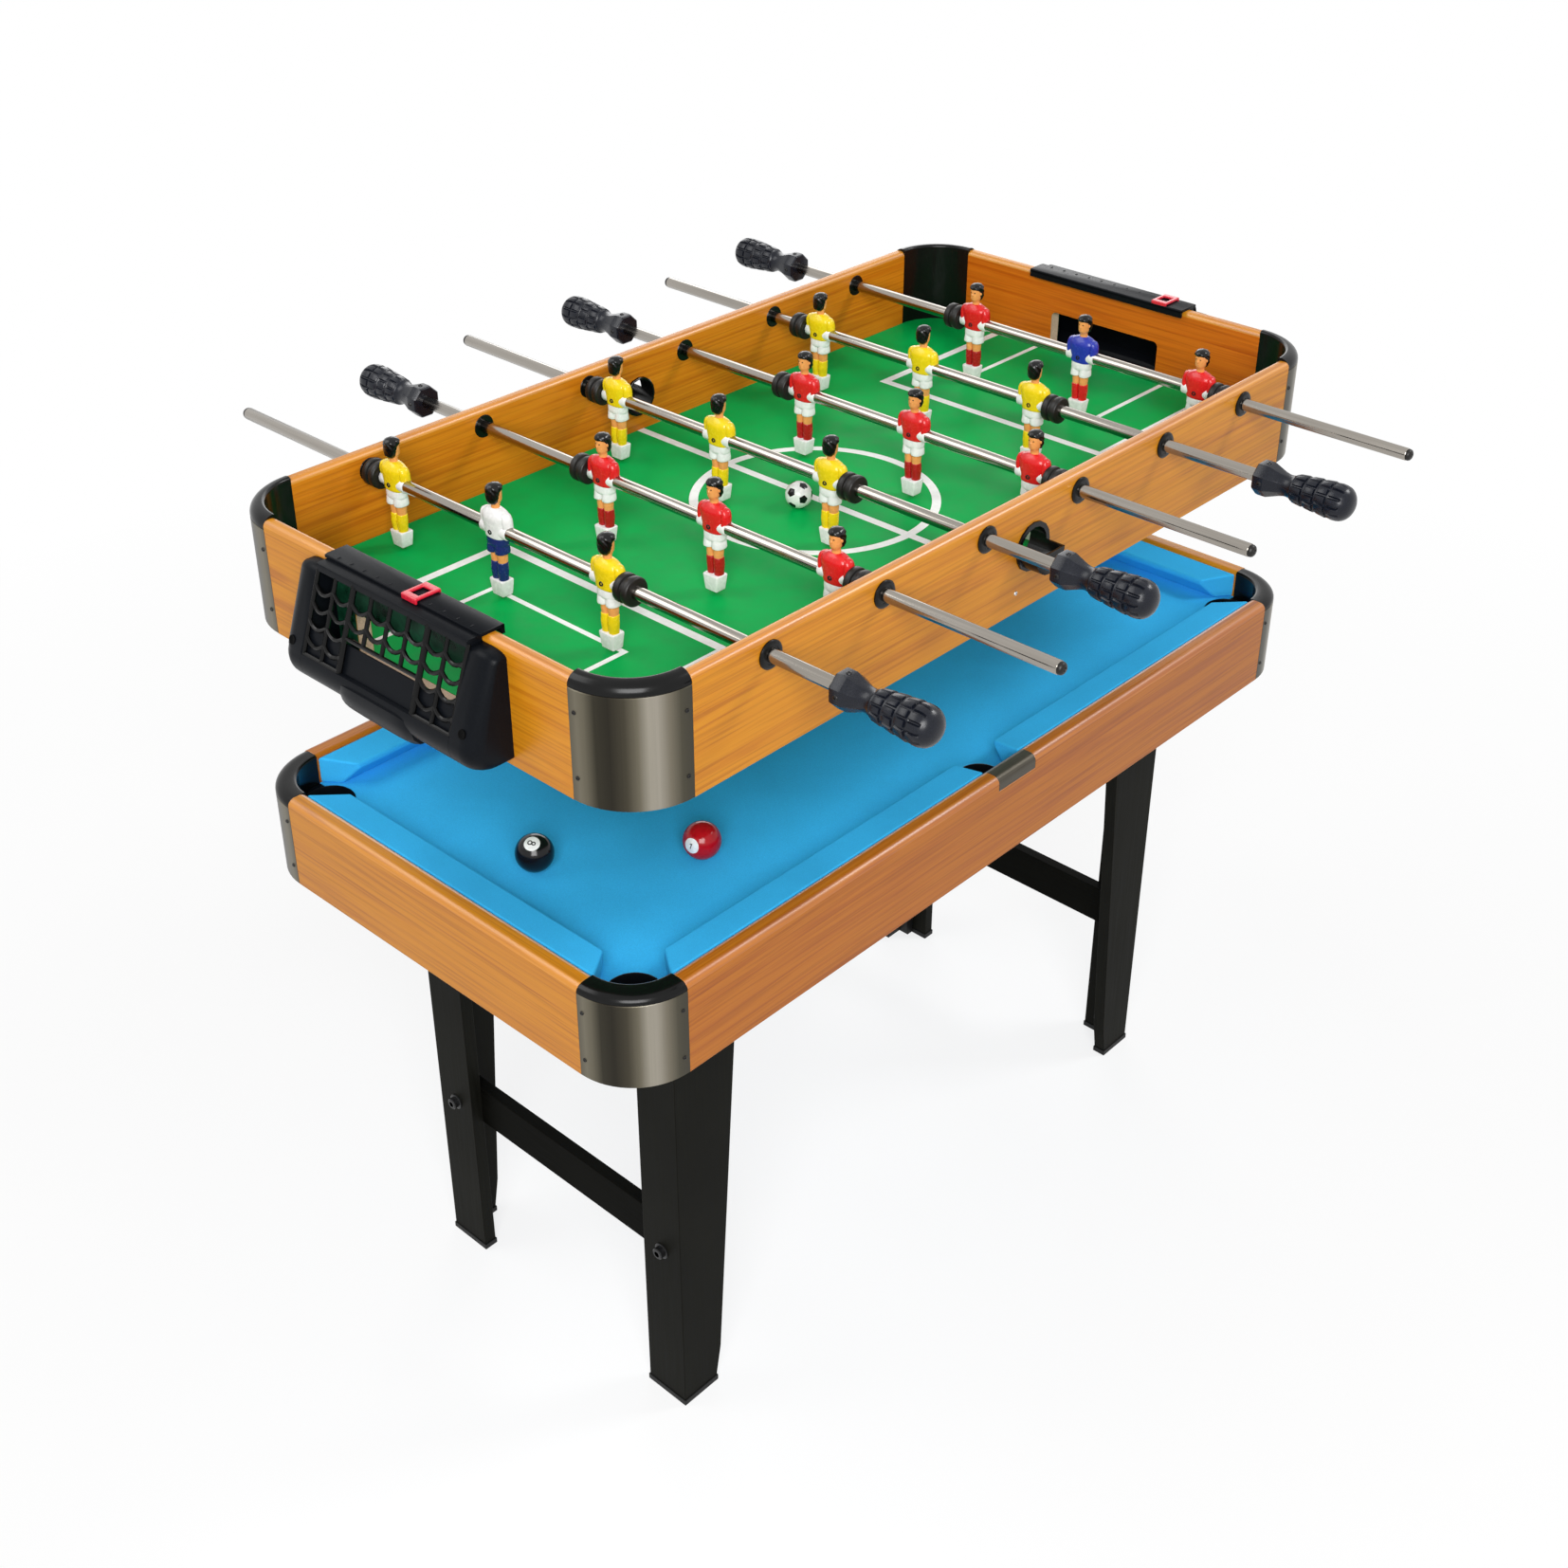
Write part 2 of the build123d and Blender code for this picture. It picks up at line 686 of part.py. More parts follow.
def make_net(side):
    """A flat moulded grid that leans in the housing's window, open where the ball is taken out."""
    low = goal_point(side, goal_depth - goal_shell, goal_belly_level)
    high = goal_point(side, goal_top_depth - goal_shell, wall_height - goal_shell)
    rise = Vector(high[0] - low[0], 0, high[1] - low[1])
    across = Vector(0, 1, 0)
    lean = Plane(origin=(low[0], 0, low[1]), x_dir=across, z_dir=across.cross(rise))
    width = 2 * goal_inner_half - 2 * slider_clearance
    height = rise.length
    column = width / net_columns
    row = height / net_rows
    inward = -side if lean.z_dir.X > 0 else side
    with BuildPart() as net:
        with BuildSketch(lean):
            with Locations((0, height / 2)):
                Rectangle(width, height)
                with GridLocations(column, row, net_columns, net_rows):
                    Rectangle(column - net_strand, row - net_strand, mode=Mode.SUBTRACT)
            with Locations((0, net_gap_rows * row / 2)):
                Rectangle(net_gap_columns * column - net_strand, net_gap_rows * row - net_strand,
                          mode=Mode.SUBTRACT)
        extrude(amount=inward * net_thickness)
    return net


for name, side in (("left", -1), ("right", 1)):
    write(make_goal(side), f"goal_{name}")
    write(make_net(side), f"net_{name}")

# Score sliders: an open frame that rides on the score rail, with a lip down each edge
slider_bottom = wall_top + score_rail_thickness + slider_clearance
rail_span = score_rail_reach + wall_thickness + slider_clearance + score_lip_thickness
slider_width = rail_span + 2 * (slider_clearance + slider_lip)
slider_centre_out = score_rail_reach - rail_span / 2

for name, side, place in (("score_slider_left", -1, slider_left_place),
                          ("score_slider_right", 1, slider_right_place)):
    with BuildPart() as slider:
        middle = (side * (tray_half_length + slider_centre_out), place)
        with BuildSketch(Plane.XY.offset(slider_bottom)):
            with Locations(middle):
                Rectangle(slider_width, slider_length)
                Rectangle(rail_span - 2 * slider_bar, slider_length - 2 * slider_bar,
                          mode=Mode.SUBTRACT)
        extrude(amount=slider_height)
        with BuildSketch(Plane.XY.offset(slider_bottom)):
            with Locations(middle):
                Rectangle(slider_width, slider_length)
                Rectangle(rail_span + 2 * slider_clearance, slider_length, mode=Mode.SUBTRACT)
        extrude(amount=-score_rail_thickness)
    write(slider, name)

# One moulded figure, standing on a rod along Y and facing +X
foot_bottom = field_height + foot_clearance - rod_level
ankle = foot_bottom + foot_block_height

with BuildPart() as figure:
    with BuildSketch(Plane.YZ):
        with BuildLine():
            Polyline((0, foot_bottom), (foot_half_width, foot_bottom), (foot_half_width, ankle),
                     (calf_half_width, ankle), (thigh_half_width, shorts_level),
                     (shorts_half_width, shorts_level), (shorts_half_width, waist_level),
                     (torso_half_width, waist_level),
                     (torso_half_width, shoulder_level - shoulder_slope),
                     (neck_half_width, neck_level), (head_half_width, jaw_level),
                     (head_half_width, head_top - crown_height), (neck_half_width, head_top),
                     (0, head_top), close=True)
        make_face()
        mirror(about=Plane.YZ)
    extrude(amount=toe_reach + heel_reach, both=True)
    with BuildSketch(Plane.XZ):
        with BuildLine():
            Polyline((-heel_reach, foot_bottom), (toe_reach, foot_bottom),
                     (toe_reach, foot_bottom + toe_height), (calf_half_depth, ankle),
                     (thigh_half_depth, waist_level), (chest_half_depth, chest_level),
                     (neck_half_width, neck_level), (head_half_width, jaw_level),
                     (head_half_width, head_top - crown_height), (neck_half_width, head_top),
                     (-neck_half_width, head_top), (-head_half_width, head_top - crown_height),
                     (-head_half_width, jaw_level), (-neck_half_width, neck_level),
                     (-chest_half_depth, chest_level), (-thigh_half_depth, waist_level),
                     (-calf_half_depth, ankle), (-heel_reach, foot_bottom + heel_height),
                     close=True)
        make_face()
    extrude(amount=torso_half_width, both=True, mode=Mode.INTERSECT)
    with BuildSketch(Plane.XZ):
        RegularPolygon(hub_radius, small_sides)
    extrude(amount=hub_length / 2, both=True)
    with BuildSketch(Plane.XZ):
        RegularPolygon(rod_radius + fit_clearance, small_sides, major_radius=False)
    extrude(amount=hub_length, both=True, mode=Mode.SUBTRACT)


def bevelled_prism(start, end, radius, sides, near_bevel=None, far_bevel=None):
    """A regular prism along Y. A bevel is (length along Y, depth), cut on the rim at that end."""
    with BuildPart() as prism:
        with BuildSketch(Plane.XZ.offset(-start)):
            RegularPolygon(radius, sides)
        extrude(amount=start - end)
        for place, bevel in ((0, near_bevel), (-1, far_bevel)):
            if bevel:
                rim = prism.faces().sort_by(Axis.Y)[place]
                chamfer(rim.edges(), length=bevel[1], length2=bevel[0], reference=rim)
    return prism.part


# One rubber bumper on a rod along Y: two discs that narrow to a groove between them
bumper_bevel = (bumper_groove_width / 2, bumper_groove_depth)
bumper_halves = [bevelled_prism(0, bumper_length / 2, bumper_radius, small_sides,
                                far_bevel=bumper_bevel),
                 bevelled_prism(bumper_length / 2, bumper_length, bumper_radius, small_sides,
                                near_bevel=bumper_bevel)]

with BuildPart() as bumper:
    add(bumper_halves)
    with BuildSketch(Plane.XZ):
        RegularPolygon(bushing_bore, small_sides, major_radius=False)
    extrude(amount=-bumper_length, mode=Mode.SUBTRACT)

# One handle on the end of a rod, pointing along +Y: an octagonal collar, a neck and a ringed grip
groove_bevel = (handle_groove_width / 2, handle_groove_depth)
flare_bevel = (handle_flare_length, handle_flare_depth)
grip_end = handle_length - handle_dome_length
grip_start = grip_end - handle_ring_count * handle_ring_length
handle_stages = [bevelled_prism(0, handle_collar_length, handle_collar_radius, handle_collar_sides,
                                (handle_collar_rim, handle_collar_rim_depth),
                                (handle_collar_slope, handle_collar_slope_depth)),
                 bevelled_prism(handle_collar_length, grip_start, handle_neck_radius, handle_sides)]
for ring in range(handle_ring_count):
    ring_start = grip_start + ring * handle_ring_length
    ring_radius = handle_grip_radius - (handle_ring_count - 1 - ring) * handle_ring_growth
    handle_stages.append(bevelled_prism(ring_start, ring_start + handle_ring_length, ring_radius,
                                        handle_sides, groove_bevel if ring else flare_bevel,
                                        groove_bevel))
handle_stages.append(bevelled_prism(grip_end, handle_length, handle_grip_radius, handle_sides,
                                    groove_bevel, (handle_dome_slope, handle_dome_depth)))

with BuildPart() as handle:
    add(handle_stages)
    with BuildSketch(Plane.XZ):
        RegularPolygon(rod_radius + fit_clearance, small_sides, major_radius=False)
    extrude(amount=-handle_socket, mode=Mode.SUBTRACT)

# One domed plug for the open end of a rod, pointing along +Y
plug_stages = [bevelled_prism(-plug_stem, 0, rod_bore_radius - fit_clearance, small_sides),
               bevelled_prism(0, plug_length, rod_radius, small_sides,
                              far_bevel=(plug_dome_length, plug_dome_depth))]

with BuildPart() as plug:
    add(plug_stages)

# Six rods: odd ones have their handle at the front and face +X, even ones the other way round
for index, x in enumerate(rod_places):
    number = index + 1
    way = 1 if index % 2 else -1
    centre = rod_shift_shares[index] * rod_travel
    turn = 0 if way > 0 else 180
    handle_y = centre + way * handle_start
    tip_y = centre - way * tip_reach
    with BuildPart() as rod:
        with BuildSketch(Plane(origin=(x, tip_y, rod_axis_z), x_dir=(1, 0, 0),
                               z_dir=(0, way, 0))):
            Circle(rod_radius)
            RegularPolygon(rod_bore_radius, small_sides, mode=Mode.SUBTRACT)
        extrude(amount=abs(handle_y - tip_y) + handle_socket - fit_clearance)
    write(rod, f"rod_{number}")

    with BuildPart() as handle_and_plug:
        with Locations(Location((x, handle_y, rod_axis_z), (0, 0, turn))):
            add(handle.part)
        with Locations(Location((x, tip_y, rod_axis_z), (0, 0, turn + 180))):
            add(plug.part)
    write(handle_and_plug, f"rod_{number}_handle_and_plug")

    with BuildPart() as players:
        for place in range(players_per_rod):
            y = centre + place * player_pitch - player_reach
            with Locations(Location((x, y, rod_axis_z), (0, 0, turn + 180))):
                add(figure.part)
    write(players, f"rod_{number}_players")

    with BuildPart() as bumpers:
        inner = bumper_reach - bumper_length
        with Locations(Location((x, centre + inner, rod_axis_z)),
                       Location((x, centre - inner, rod_axis_z), (0, 0, 180))):
            add(bumper.part)
    write(bumpers, f"rod_{number}_bumpers")
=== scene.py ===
"""Looks of the two-in-one game table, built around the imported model.

Sizes are in millimetres, and each piece is scaled to metres as it is finished.
"""

from math import copysign, cos, pi, radians, sin, sqrt

import bmesh
import bpy
from mathutils import Matrix, Quaternion, Vector


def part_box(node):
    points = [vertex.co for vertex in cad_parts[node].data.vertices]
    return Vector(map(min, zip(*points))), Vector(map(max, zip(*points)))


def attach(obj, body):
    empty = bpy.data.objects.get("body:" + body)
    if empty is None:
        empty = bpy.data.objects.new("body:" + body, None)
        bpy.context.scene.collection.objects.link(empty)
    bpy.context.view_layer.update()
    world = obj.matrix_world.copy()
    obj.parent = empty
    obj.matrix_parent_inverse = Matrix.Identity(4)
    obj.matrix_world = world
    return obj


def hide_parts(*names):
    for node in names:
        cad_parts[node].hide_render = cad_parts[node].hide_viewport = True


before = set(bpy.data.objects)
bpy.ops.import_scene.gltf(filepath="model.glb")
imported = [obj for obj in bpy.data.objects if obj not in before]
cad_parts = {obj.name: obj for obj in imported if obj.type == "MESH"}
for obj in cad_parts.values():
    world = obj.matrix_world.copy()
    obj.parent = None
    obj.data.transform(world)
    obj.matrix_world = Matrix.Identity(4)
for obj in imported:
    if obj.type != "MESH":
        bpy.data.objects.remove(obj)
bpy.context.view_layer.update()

MM = 0.001
ROD_COUNT = 6
QUADRANTS = ((-1, -1), (1, -1), (-1, 1), (1, 1))
scene = bpy.context.scene


def box(node):
    """Lowest and highest corner of a CAD node, in millimetres."""
    low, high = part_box(node)
    return low / MM, high / MM


# Materials


def graph(name):
    """A new material, with its shader and its node tree."""
    material = bpy.data.materials.new(name)
    material.use_nodes = True
    return material, material.node_tree.nodes["Principled BSDF"], material.node_tree


def plug(tree, socket, value):
    """Give a socket a constant or another node's output."""
    if isinstance(value, bpy.types.NodeSocket):
        tree.links.new(value, socket)
    else:
        socket.default_value = value


def wired(tree, node, **inputs):
    """A node whose sockets, called by name, get constants or other nodes' outputs."""
    for name, value in inputs.items():
        plug(tree, node.inputs[name.replace("_", " ")], value)
    return node


def add_node(tree, kind, **inputs):
    """A new shader node, wired."""
    return wired(tree, tree.nodes.new("ShaderNode" + kind), **inputs)


def maths(tree, operation, *values):
    """The result of one operation on values."""
    node = add_node(tree, "Math")
    node.operation = operation
    for socket, value in zip(node.inputs, values):
        plug(tree, socket, value)
    return node.outputs["Value"]


def noise(tree, scale, stretch=(1, 1, 1), detail=4, distortion=0):
    """Noise with so many grains to a metre, drawn out along the axes with a small stretch."""
    place = add_node(tree, "TexCoord").outputs["Object"]
    mapped = add_node(tree, "Mapping", Vector=place, Scale=stretch).outputs["Vector"]
    texture = add_node(tree, "TexNoise", Vector=mapped, Scale=scale, Detail=detail, Distortion=distortion)
    return texture.outputs["Fac"]


def colours(tree, value, stops):
    """Colours along a value, from stops of (place, colour)."""
    node = add_node(tree, "ValToRGB", Fac=value)
    elements = node.color_ramp.elements
    elements[0].position = stops[0][0]
    elements[1].position = stops[-1][0]
    for place, _ in stops[1:-1]:
        elements.new(place)
    for element, (_, colour) in zip(elements, stops):
        element.color = (*colour, 1)
    return node.outputs["Color"]


def multiplied(tree, factor, first, second):
    """One colour multiplied by another, as strongly as a factor says."""
    mix = add_node(tree, "MixRGB", Fac=factor, Color1=first, Color2=second)
    mix.blend_type = "MULTIPLY"
    return mix.outputs["Color"]


def scaled(tree, value, low, high, start=0.3, end=0.7):
    """A value taken from one range, which is that of noise unless given, to another."""
    node = add_node(tree, "MapRange", Value=value, From_Min=start, From_Max=end, To_Min=low, To_Max=high)
    return node.outputs["Result"]


def relief(tree, height, depth):
    """Small relief in a surface, as deep as so many millimetres."""
    return add_node(tree, "Bump", Height=height, Distance=depth * MM).outputs["Normal"]


cloud_grains = 9
band_grains = (2.6, 105)
fibre_grains = (7, 420)


def surface(name, colour, rough, scale=250, vary=0.12, depth=0.05, stretch=(1, 1, 1), gloss=0.5,
            **inputs):
    """A finish whose colour, roughness and relief vary with a fine noise."""
    material, shader, tree = graph(name)
    grain = noise(tree, scale, stretch)
    cloud = noise(tree, cloud_grains)
    fine = colours(tree, grain, ((0.3, [c * (1 - vary) for c in colour]),
                                 (0.7, [min(c * (1 + vary), 1) for c in colour])))
    broad = colours(tree, cloud, ((0.3, [1 - vary] * 3), (0.7, [1] * 3)))
    wired(tree, shader, Base_Color=multiplied(tree, 1, fine, broad), Specular_IOR_Level=gloss,
          Roughness=scaled(tree, grain, rough * 0.85, rough * 1.15), Normal=relief(tree, grain, depth),
          **inputs)
    return material


def wood(name, axis, dark, middle, light, gloss=0.32):
    """Printed wood grain that runs along one axis, under a satin coat."""
    material, shader, tree = graph(name)
    bands, threads = ([along if k == axis else across for k in range(3)]
                      for along, across in (band_grains, fibre_grains))
    figure = noise(tree, 1, bands, 6, 1.4)
    fibre = noise(tree, 1, threads, 4, 0.4)
    colour = colours(tree, figure, ((0.28, dark), (0.42, middle), (0.56, light), (0.72, middle)))
    streaks = colours(tree, fibre, ((0.36, (0.66, 0.56, 0.5)), (0.52, (1, 1, 1))))
    wired(tree, shader, Base_Color=multiplied(tree, 0.55, colour, streaks), Specular_IOR_Level=gloss,
          Roughness=scaled(tree, figure, 0.31, 0.39), Normal=relief(tree, fibre, 0.03))
    return material


def painted_reflection_metal(name, tones, rough):
    """Metal-look film on a rounded corner, with reflections painted into its colour by facing: pale where
    it faces outward and dark at its edges.
    """
    material, shader, tree = graph(name)
    normal = add_node(tree, "TexCoord").outputs["Normal"]
    parts = add_node(tree, "SeparateXYZ", Vector=normal).outputs
    turn = maths(tree, "ARCTAN2", *(maths(tree, "ABSOLUTE", parts[axis]) for axis in "YX"))
    painted_stripes = colours(tree, maths(tree, "MULTIPLY", turn, 2 / pi), tones)
    grain = noise(tree, 900, (1, 1, 0.01))
    streaks = colours(tree, grain, ((0.3, (0.93, 0.93, 0.93)), (0.7, (1, 1, 1))))
    wired(tree, shader, Base_Color=multiplied(tree, 1, painted_stripes, streaks), Metallic=0.6,
          Specular_IOR_Level=0.2, Roughness=scaled(tree, grain, rough * 0.9, rough * 1.1),
          Normal=relief(tree, grain, 0.01))
    return material


TRAY_TONES = ((0.47, 0.15, 0.004), (0.56, 0.20, 0.005), (0.61, 0.24, 0.008))
# Darker, redder tones for the inner faces of the tray walls: painted shade
SHADED_INNER_END_TONES = ((0.43, 0.078, 0.003), (0.53, 0.112, 0.004), (0.58, 0.14, 0.006))
SHADED_INNER_SIDE_TONES = ((0.47, 0.12, 0.004), (0.56, 0.165, 0.005), (0.61, 0.20, 0.007))
POOL_END_TONES = ((0.46, 0.145, 0.004), (0.54, 0.19, 0.005), (0.59, 0.225, 0.008))
POOL_SIDE_TONES = ((0.34, 0.086, 0.003), (0.41, 0.115, 0.004), (0.46, 0.145, 0.006))
# Painted reflection: colours of the corner film from facing X to facing Y, in bright and dark stripes
PAINTED_REFLECTION_TONES = ((0, (0.06, 0.053, 0.038)), (0.07, (0.17, 0.152, 0.11)), (0.14, (0.13, 0.116, 0.082)),
         (0.23, (0.035, 0.031, 0.021)), (0.34, (0.023, 0.02, 0.014)), (0.46, (0.055, 0.048, 0.033)),
         (0.55, (0.14, 0.125, 0.09)), (0.63, (0.31, 0.284, 0.232)), (0.7, (0.32, 0.293, 0.242)),
         (0.79, (0.18, 0.16, 0.12)), (0.89, (0.075, 0.068, 0.048)), (1, (0.045, 0.041, 0.03)))
tray_wood_x = wood("tray_wood_x", 0, *TRAY_TONES)
tray_wood_y = wood("tray_wood_y", 1, *TRAY_TONES)
# Inner faces of the tray walls, in woods with painted shade
shaded_inner_end_wood = wood("shaded_inner_end_wood", 1, *SHADED_INNER_END_TONES)
shaded_inner_side_wood = wood("shaded_inner_side_wood", 0, *SHADED_INNER_SIDE_TONES)
pool_wood_x = wood("pool_wood_x", 0, *POOL_SIDE_TONES)
pool_wood_y = wood("pool_wood_y", 1, *POOL_END_TONES)
edge_gloss = 0.9
tray_edge_x = wood("tray_edge_x", 0, *TRAY_TONES, edge_gloss)
tray_edge_y = wood("tray_edge_y", 1, *TRAY_TONES, edge_gloss)
pool_edge_x = wood("pool_edge_x", 0, *POOL_SIDE_TONES, edge_gloss)
pool_edge_y = wood("pool_edge_y", 1, *POOL_END_TONES, edge_gloss)
raw_board = surface("raw_board", (0.66, 0.49, 0.36), 0.8, 900, 0.2, 0.2, gloss=0.1)
felt = surface("felt", (0.045, 0.47, 0.96), 0.95, 1500, 0.14, 0.3, gloss=0.05)
field_green = surface("field_green", (0.001, 0.375, 0.074), 0.42, 60, 0.06, 0.02, gloss=0.04)
line_white = surface("line_white", (0.90, 0.92, 0.90), 0.5, 200, 0.05, 0.02)
# Corner sleeves, whose reflection stripes are painted
gunmetal_painted_reflection = painted_reflection_metal("gunmetal_painted_reflection", PAINTED_REFLECTION_TONES, 0.34)
gloss_black = surface("gloss_black", (0.004, 0.004, 0.004), 0.2, 30, 0.12, 0.01, gloss=0.2)
net_black = surface("net_black", (0.002, 0.002, 0.002), 0.2, 60, 0.2, 0.02, gloss=0.22)
# Near-black for the screw wells and the band behind the net's lower gap: painted shade
painted_shade_black = surface("painted_shade_black", (0.001, 0.001, 0.001), 0.6, 300, 0.2, 0.02, gloss=0.05)
liner_green = surface("liner_green", (0.010, 0.085, 0.04), 0.3, 70, 0.8, 0.3, gloss=0.2)
satin_black = surface("satin_black", (0.004, 0.005, 0.007), 0.36, 900, 0.25, 0.04, gloss=0.08)
cap_metal = surface("cap_metal", (0.085, 0.076, 0.06), 0.4, 900, 0.15, 0.01, (0.02, 1, 1),
                    Metallic=0.6, gloss=0.2)
board_black = surface("board_black", (0.008, 0.008, 0.006), 0.5, 400, 0.35, 0.05, (1, 1, 0.03),
                      gloss=0.04)
bar_black = surface("bar_black", (0.004, 0.004, 0.003), 0.55, 400, 0.35, 0.05, (1, 0.03, 1), gloss=0.02)
foot_black = surface("foot_black", (0.006, 0.006, 0.006), 0.5, 500, 0.2, 0.06, gloss=0.2)
black_steel = surface("black_steel", (0.03, 0.03, 0.031), 0.32, 500, 0.2, 0.03, Metallic=0.7)
bright_steel = surface("bright_steel", (0.6, 0.6, 0.6), 0.25, 600, 0.1, 0.02, Metallic=1)
chrome = surface("chrome", (0.36, 0.332, 0.295), 0.15, 500, 0.08, 0.002, (1, 0.02, 1), Metallic=1)
handle_navy = surface("handle_navy", (0.006, 0.0075, 0.013), 0.28, 600, 0.18, 0.03, gloss=0.3)
rubber = surface("rubber", (0.010, 0.009, 0.008), 0.4, 500, 0.2, 0.06, gloss=0.3)
slider_red = surface("slider_red", (0.66, 0.012, 0.035), 0.25, 300, 0.08, 0.02, Coat_Weight=0.3)


def paint(name, colour, vary=0.06):
    """Glossy paint on the moulded figures."""
    return surface(name, colour, 0.26, 260, vary, 0.05, gloss=0.3, Coat_Weight=0.2,
                   Coat_Roughness=0.12)


skin_paint = paint("skin_paint", (0.80, 0.33, 0.095))
lip_paint = paint("lip_paint", (0.55, 0.14, 0.07))
hair_paint = surface("hair_paint", (0.004, 0.004, 0.004), 0.2, 260, 0.2, 0.05, gloss=0.3)
white_paint = paint("white_paint", (0.78, 0.78, 0.77))
yellow_paint = paint("yellow_paint", (0.82, 0.60, 0.008))
red_paint = paint("red_paint", (0.64, 0.012, 0.014))
dark_red_paint = paint("dark_red_paint", (0.40, 0.008, 0.010))
navy_paint = paint("navy_paint", (0.012, 0.022, 0.13))
blue_paint = paint("blue_paint", (0.02, 0.035, 0.36))
ball_black = surface("ball_black", (0.005, 0.005, 0.006), 0.16, 260, 0.1, 0.01, gloss=0.3)
ball_red = surface("ball_red", (0.42, 0.004, 0.010), 0.16, 260, 0.1, 0.01, gloss=0.3)


# Mesh helpers


def linked(name, data):
    """A new object in the scene."""
    thing = bpy.data.objects.new(name, data)
    scene.collection.objects.link(thing)
    return thing


def solid(name, bm, materials):
    """An object made from a mesh in millimetres."""
    bmesh.ops.scale(bm, vec=(MM, MM, MM), verts=bm.verts)
    mesh = bpy.data.meshes.new(name)
    bm.to_mesh(mesh)
    bm.free()
    for material in materials:
        mesh.materials.append(material)
    return linked(name, mesh)


def finish_piece(name, bm, body, materials, replaced=(), angle=35, weighted=False):
    """Make a mesh a smooth piece that rides on a body and may stand for CAD nodes."""
    bmesh.ops.recalc_face_normals(bm, faces=bm.faces)
    piece = solid(name, bm, materials)
    piece.data.shade_smooth()
    piece.data.set_sharp_from_angle(angle=radians(angle))
    if weighted:
        piece.modifiers.new("even_shading", "WEIGHTED_NORMAL").keep_sharp = True
    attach(piece, body)
    if replaced:
        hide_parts(*replaced)
    return piece


def full_turn(count):
    """Angles that share out one full turn."""
    return [2 * pi * i / count for i in range(count)]


def skin(bm, rings, material=0, caps=True, closed=False):
    """Faces between rings of points, which may close on themselves or get a cap at each end."""
    loops = [[bm.verts.new(point) for point in ring] for ring in rings]
    pairs = list(zip(loops, loops[1:]))
    if closed:
        pairs.append((loops[-1], loops[0]))
    faces = []
    for first, second in pairs:
        for i in range(len(first)):
            faces.append(bm.faces.new((first[i - 1], first[i], second[i], second[i - 1])))
    if caps and not closed:
        faces += [bm.faces.new(loops[0]), bm.faces.new(loops[-1])]
    for face in faces:
        face.material_index = material
    return faces


def lathe(bm, profile, place=Matrix(), sides=32, material=0, closed=False):
    """A profile of (distance along Y, radius) points turned about Y."""
    rings = [[place @ Vector((radius * cos(t), along, radius * sin(t))) for t in full_turn(sides)]
             for along, radius in profile]
    return skin(bm, rings, material, closed=closed)


def aim(point, direction):
    """A place whose Y axis points in a direction."""
    turn = Vector((0, 1, 0)).rotation_difference(Vector(direction))
    return Matrix.Translation(Vector(point)) @ turn.to_matrix().to_4x4()


def tube(bm, points, radius, sides=8, material=0):
    """A round strand along points."""
    points = [Vector(p) for p in points]
    rings = []
    side = None
    for i, point in enumerate(points):
        ahead = (points[min(i + 1, len(points) - 1)] - points[max(i - 1, 0)]).normalized()
        if side is None:
            side = ahead.orthogonal()
        side = (side - ahead * side.dot(ahead)).normalized()
        other = ahead.cross(side)
        rings.append([point + radius * (side * cos(t) + other * sin(t)) for t in full_turn(sides)])
    return skin(bm, rings, material)


def arc(centre, radius, start, end, steps=6, height=None):
    """Points of an arc in a plane, between two angles in degrees; an oval one with a height."""
    angles = [radians(start + (end - start) * i / steps) for i in range(steps + 1)]
    rise = height or radius
    return [(centre[0] + radius * cos(a), centre[1] + rise * sin(a)) for a in angles]


def slab(bm, corner, opposite, material=0):
    """An upright box between two opposite corners."""
    low = [min(pair) for pair in zip(corner, opposite)]
    high = [max(pair) for pair in zip(corner, opposite)]
    plan = ((low[0], low[1]), (high[0], low[1]), (high[0], high[1]), (low[0], high[1]))
    return skin(bm, [[(x, y, z) for x, y in plan] for z in (low[2], high[2])], material)


def tidy(bm):
    """Join doubled points and merge flat faces."""
    bmesh.ops.remove_doubles(bm, verts=bm.verts, dist=0.01)
    bmesh.ops.dissolve_limit(bm, angle_limit=radians(0.5), verts=bm.verts, edges=bm.edges)


def soften(bm, width, steps=2, angle=30):
    """Round every edge that is sharper than an angle."""
    tidy(bm)
    sharp = [e for e in bm.edges
             if len(e.link_faces) == 2 and e.calc_face_angle() > radians(angle)]
    bmesh.ops.bevel(bm, geom=sharp, offset=width, segments=steps, profile=0.5, affect="EDGES",
                    clamp_overlap=True)


def softened(node, body, material, width, steps=2, angle=30):
    """A copy of a CAD node with rounded edges, which stands for it."""
    bm = node_mesh(node)
    soften(bm, width, steps, angle)
    return finish_piece(node + "_finished", bm, body, [material], [node], weighted=True)


def node_mesh(node):
    """A CAD node's mesh in millimetres."""
    bm = bmesh.new()
    bm.from_mesh(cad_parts[node].data)
    bmesh.ops.scale(bm, vec=(1 / MM,) * 3, verts=bm.verts)
    return bm


def dress(node, material):
    """Give a CAD node that keeps its shape its material."""
    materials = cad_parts[node].data.materials
    materials.clear()
    materials.append(material)


def screw(bm, point, direction, radius, material=0):
    """A small round-headed screw with a socket."""
    profile = ((-0.4, radius), (0.15 * radius, radius), (0.4 * radius, 0.85 * radius),
               (0.55 * radius, 0.5 * radius), (0.55 * radius, 0.36 * radius),
               (0.1 * radius, 0.3 * radius))
    lathe(bm, profile, aim(point, direction), 16, material)


# Rails and walls, with bare board at the edges of the goal mouths

mouth_half = 75
mouth_height = 46
mouth_reach = mouth_height / 2 + 1
mouth_level = box("playfield")[1].z + mouth_height / 2
FACE, EDGE, INNER, BARE = range(4)
edge_low = 0.12
edge_high = 0.985


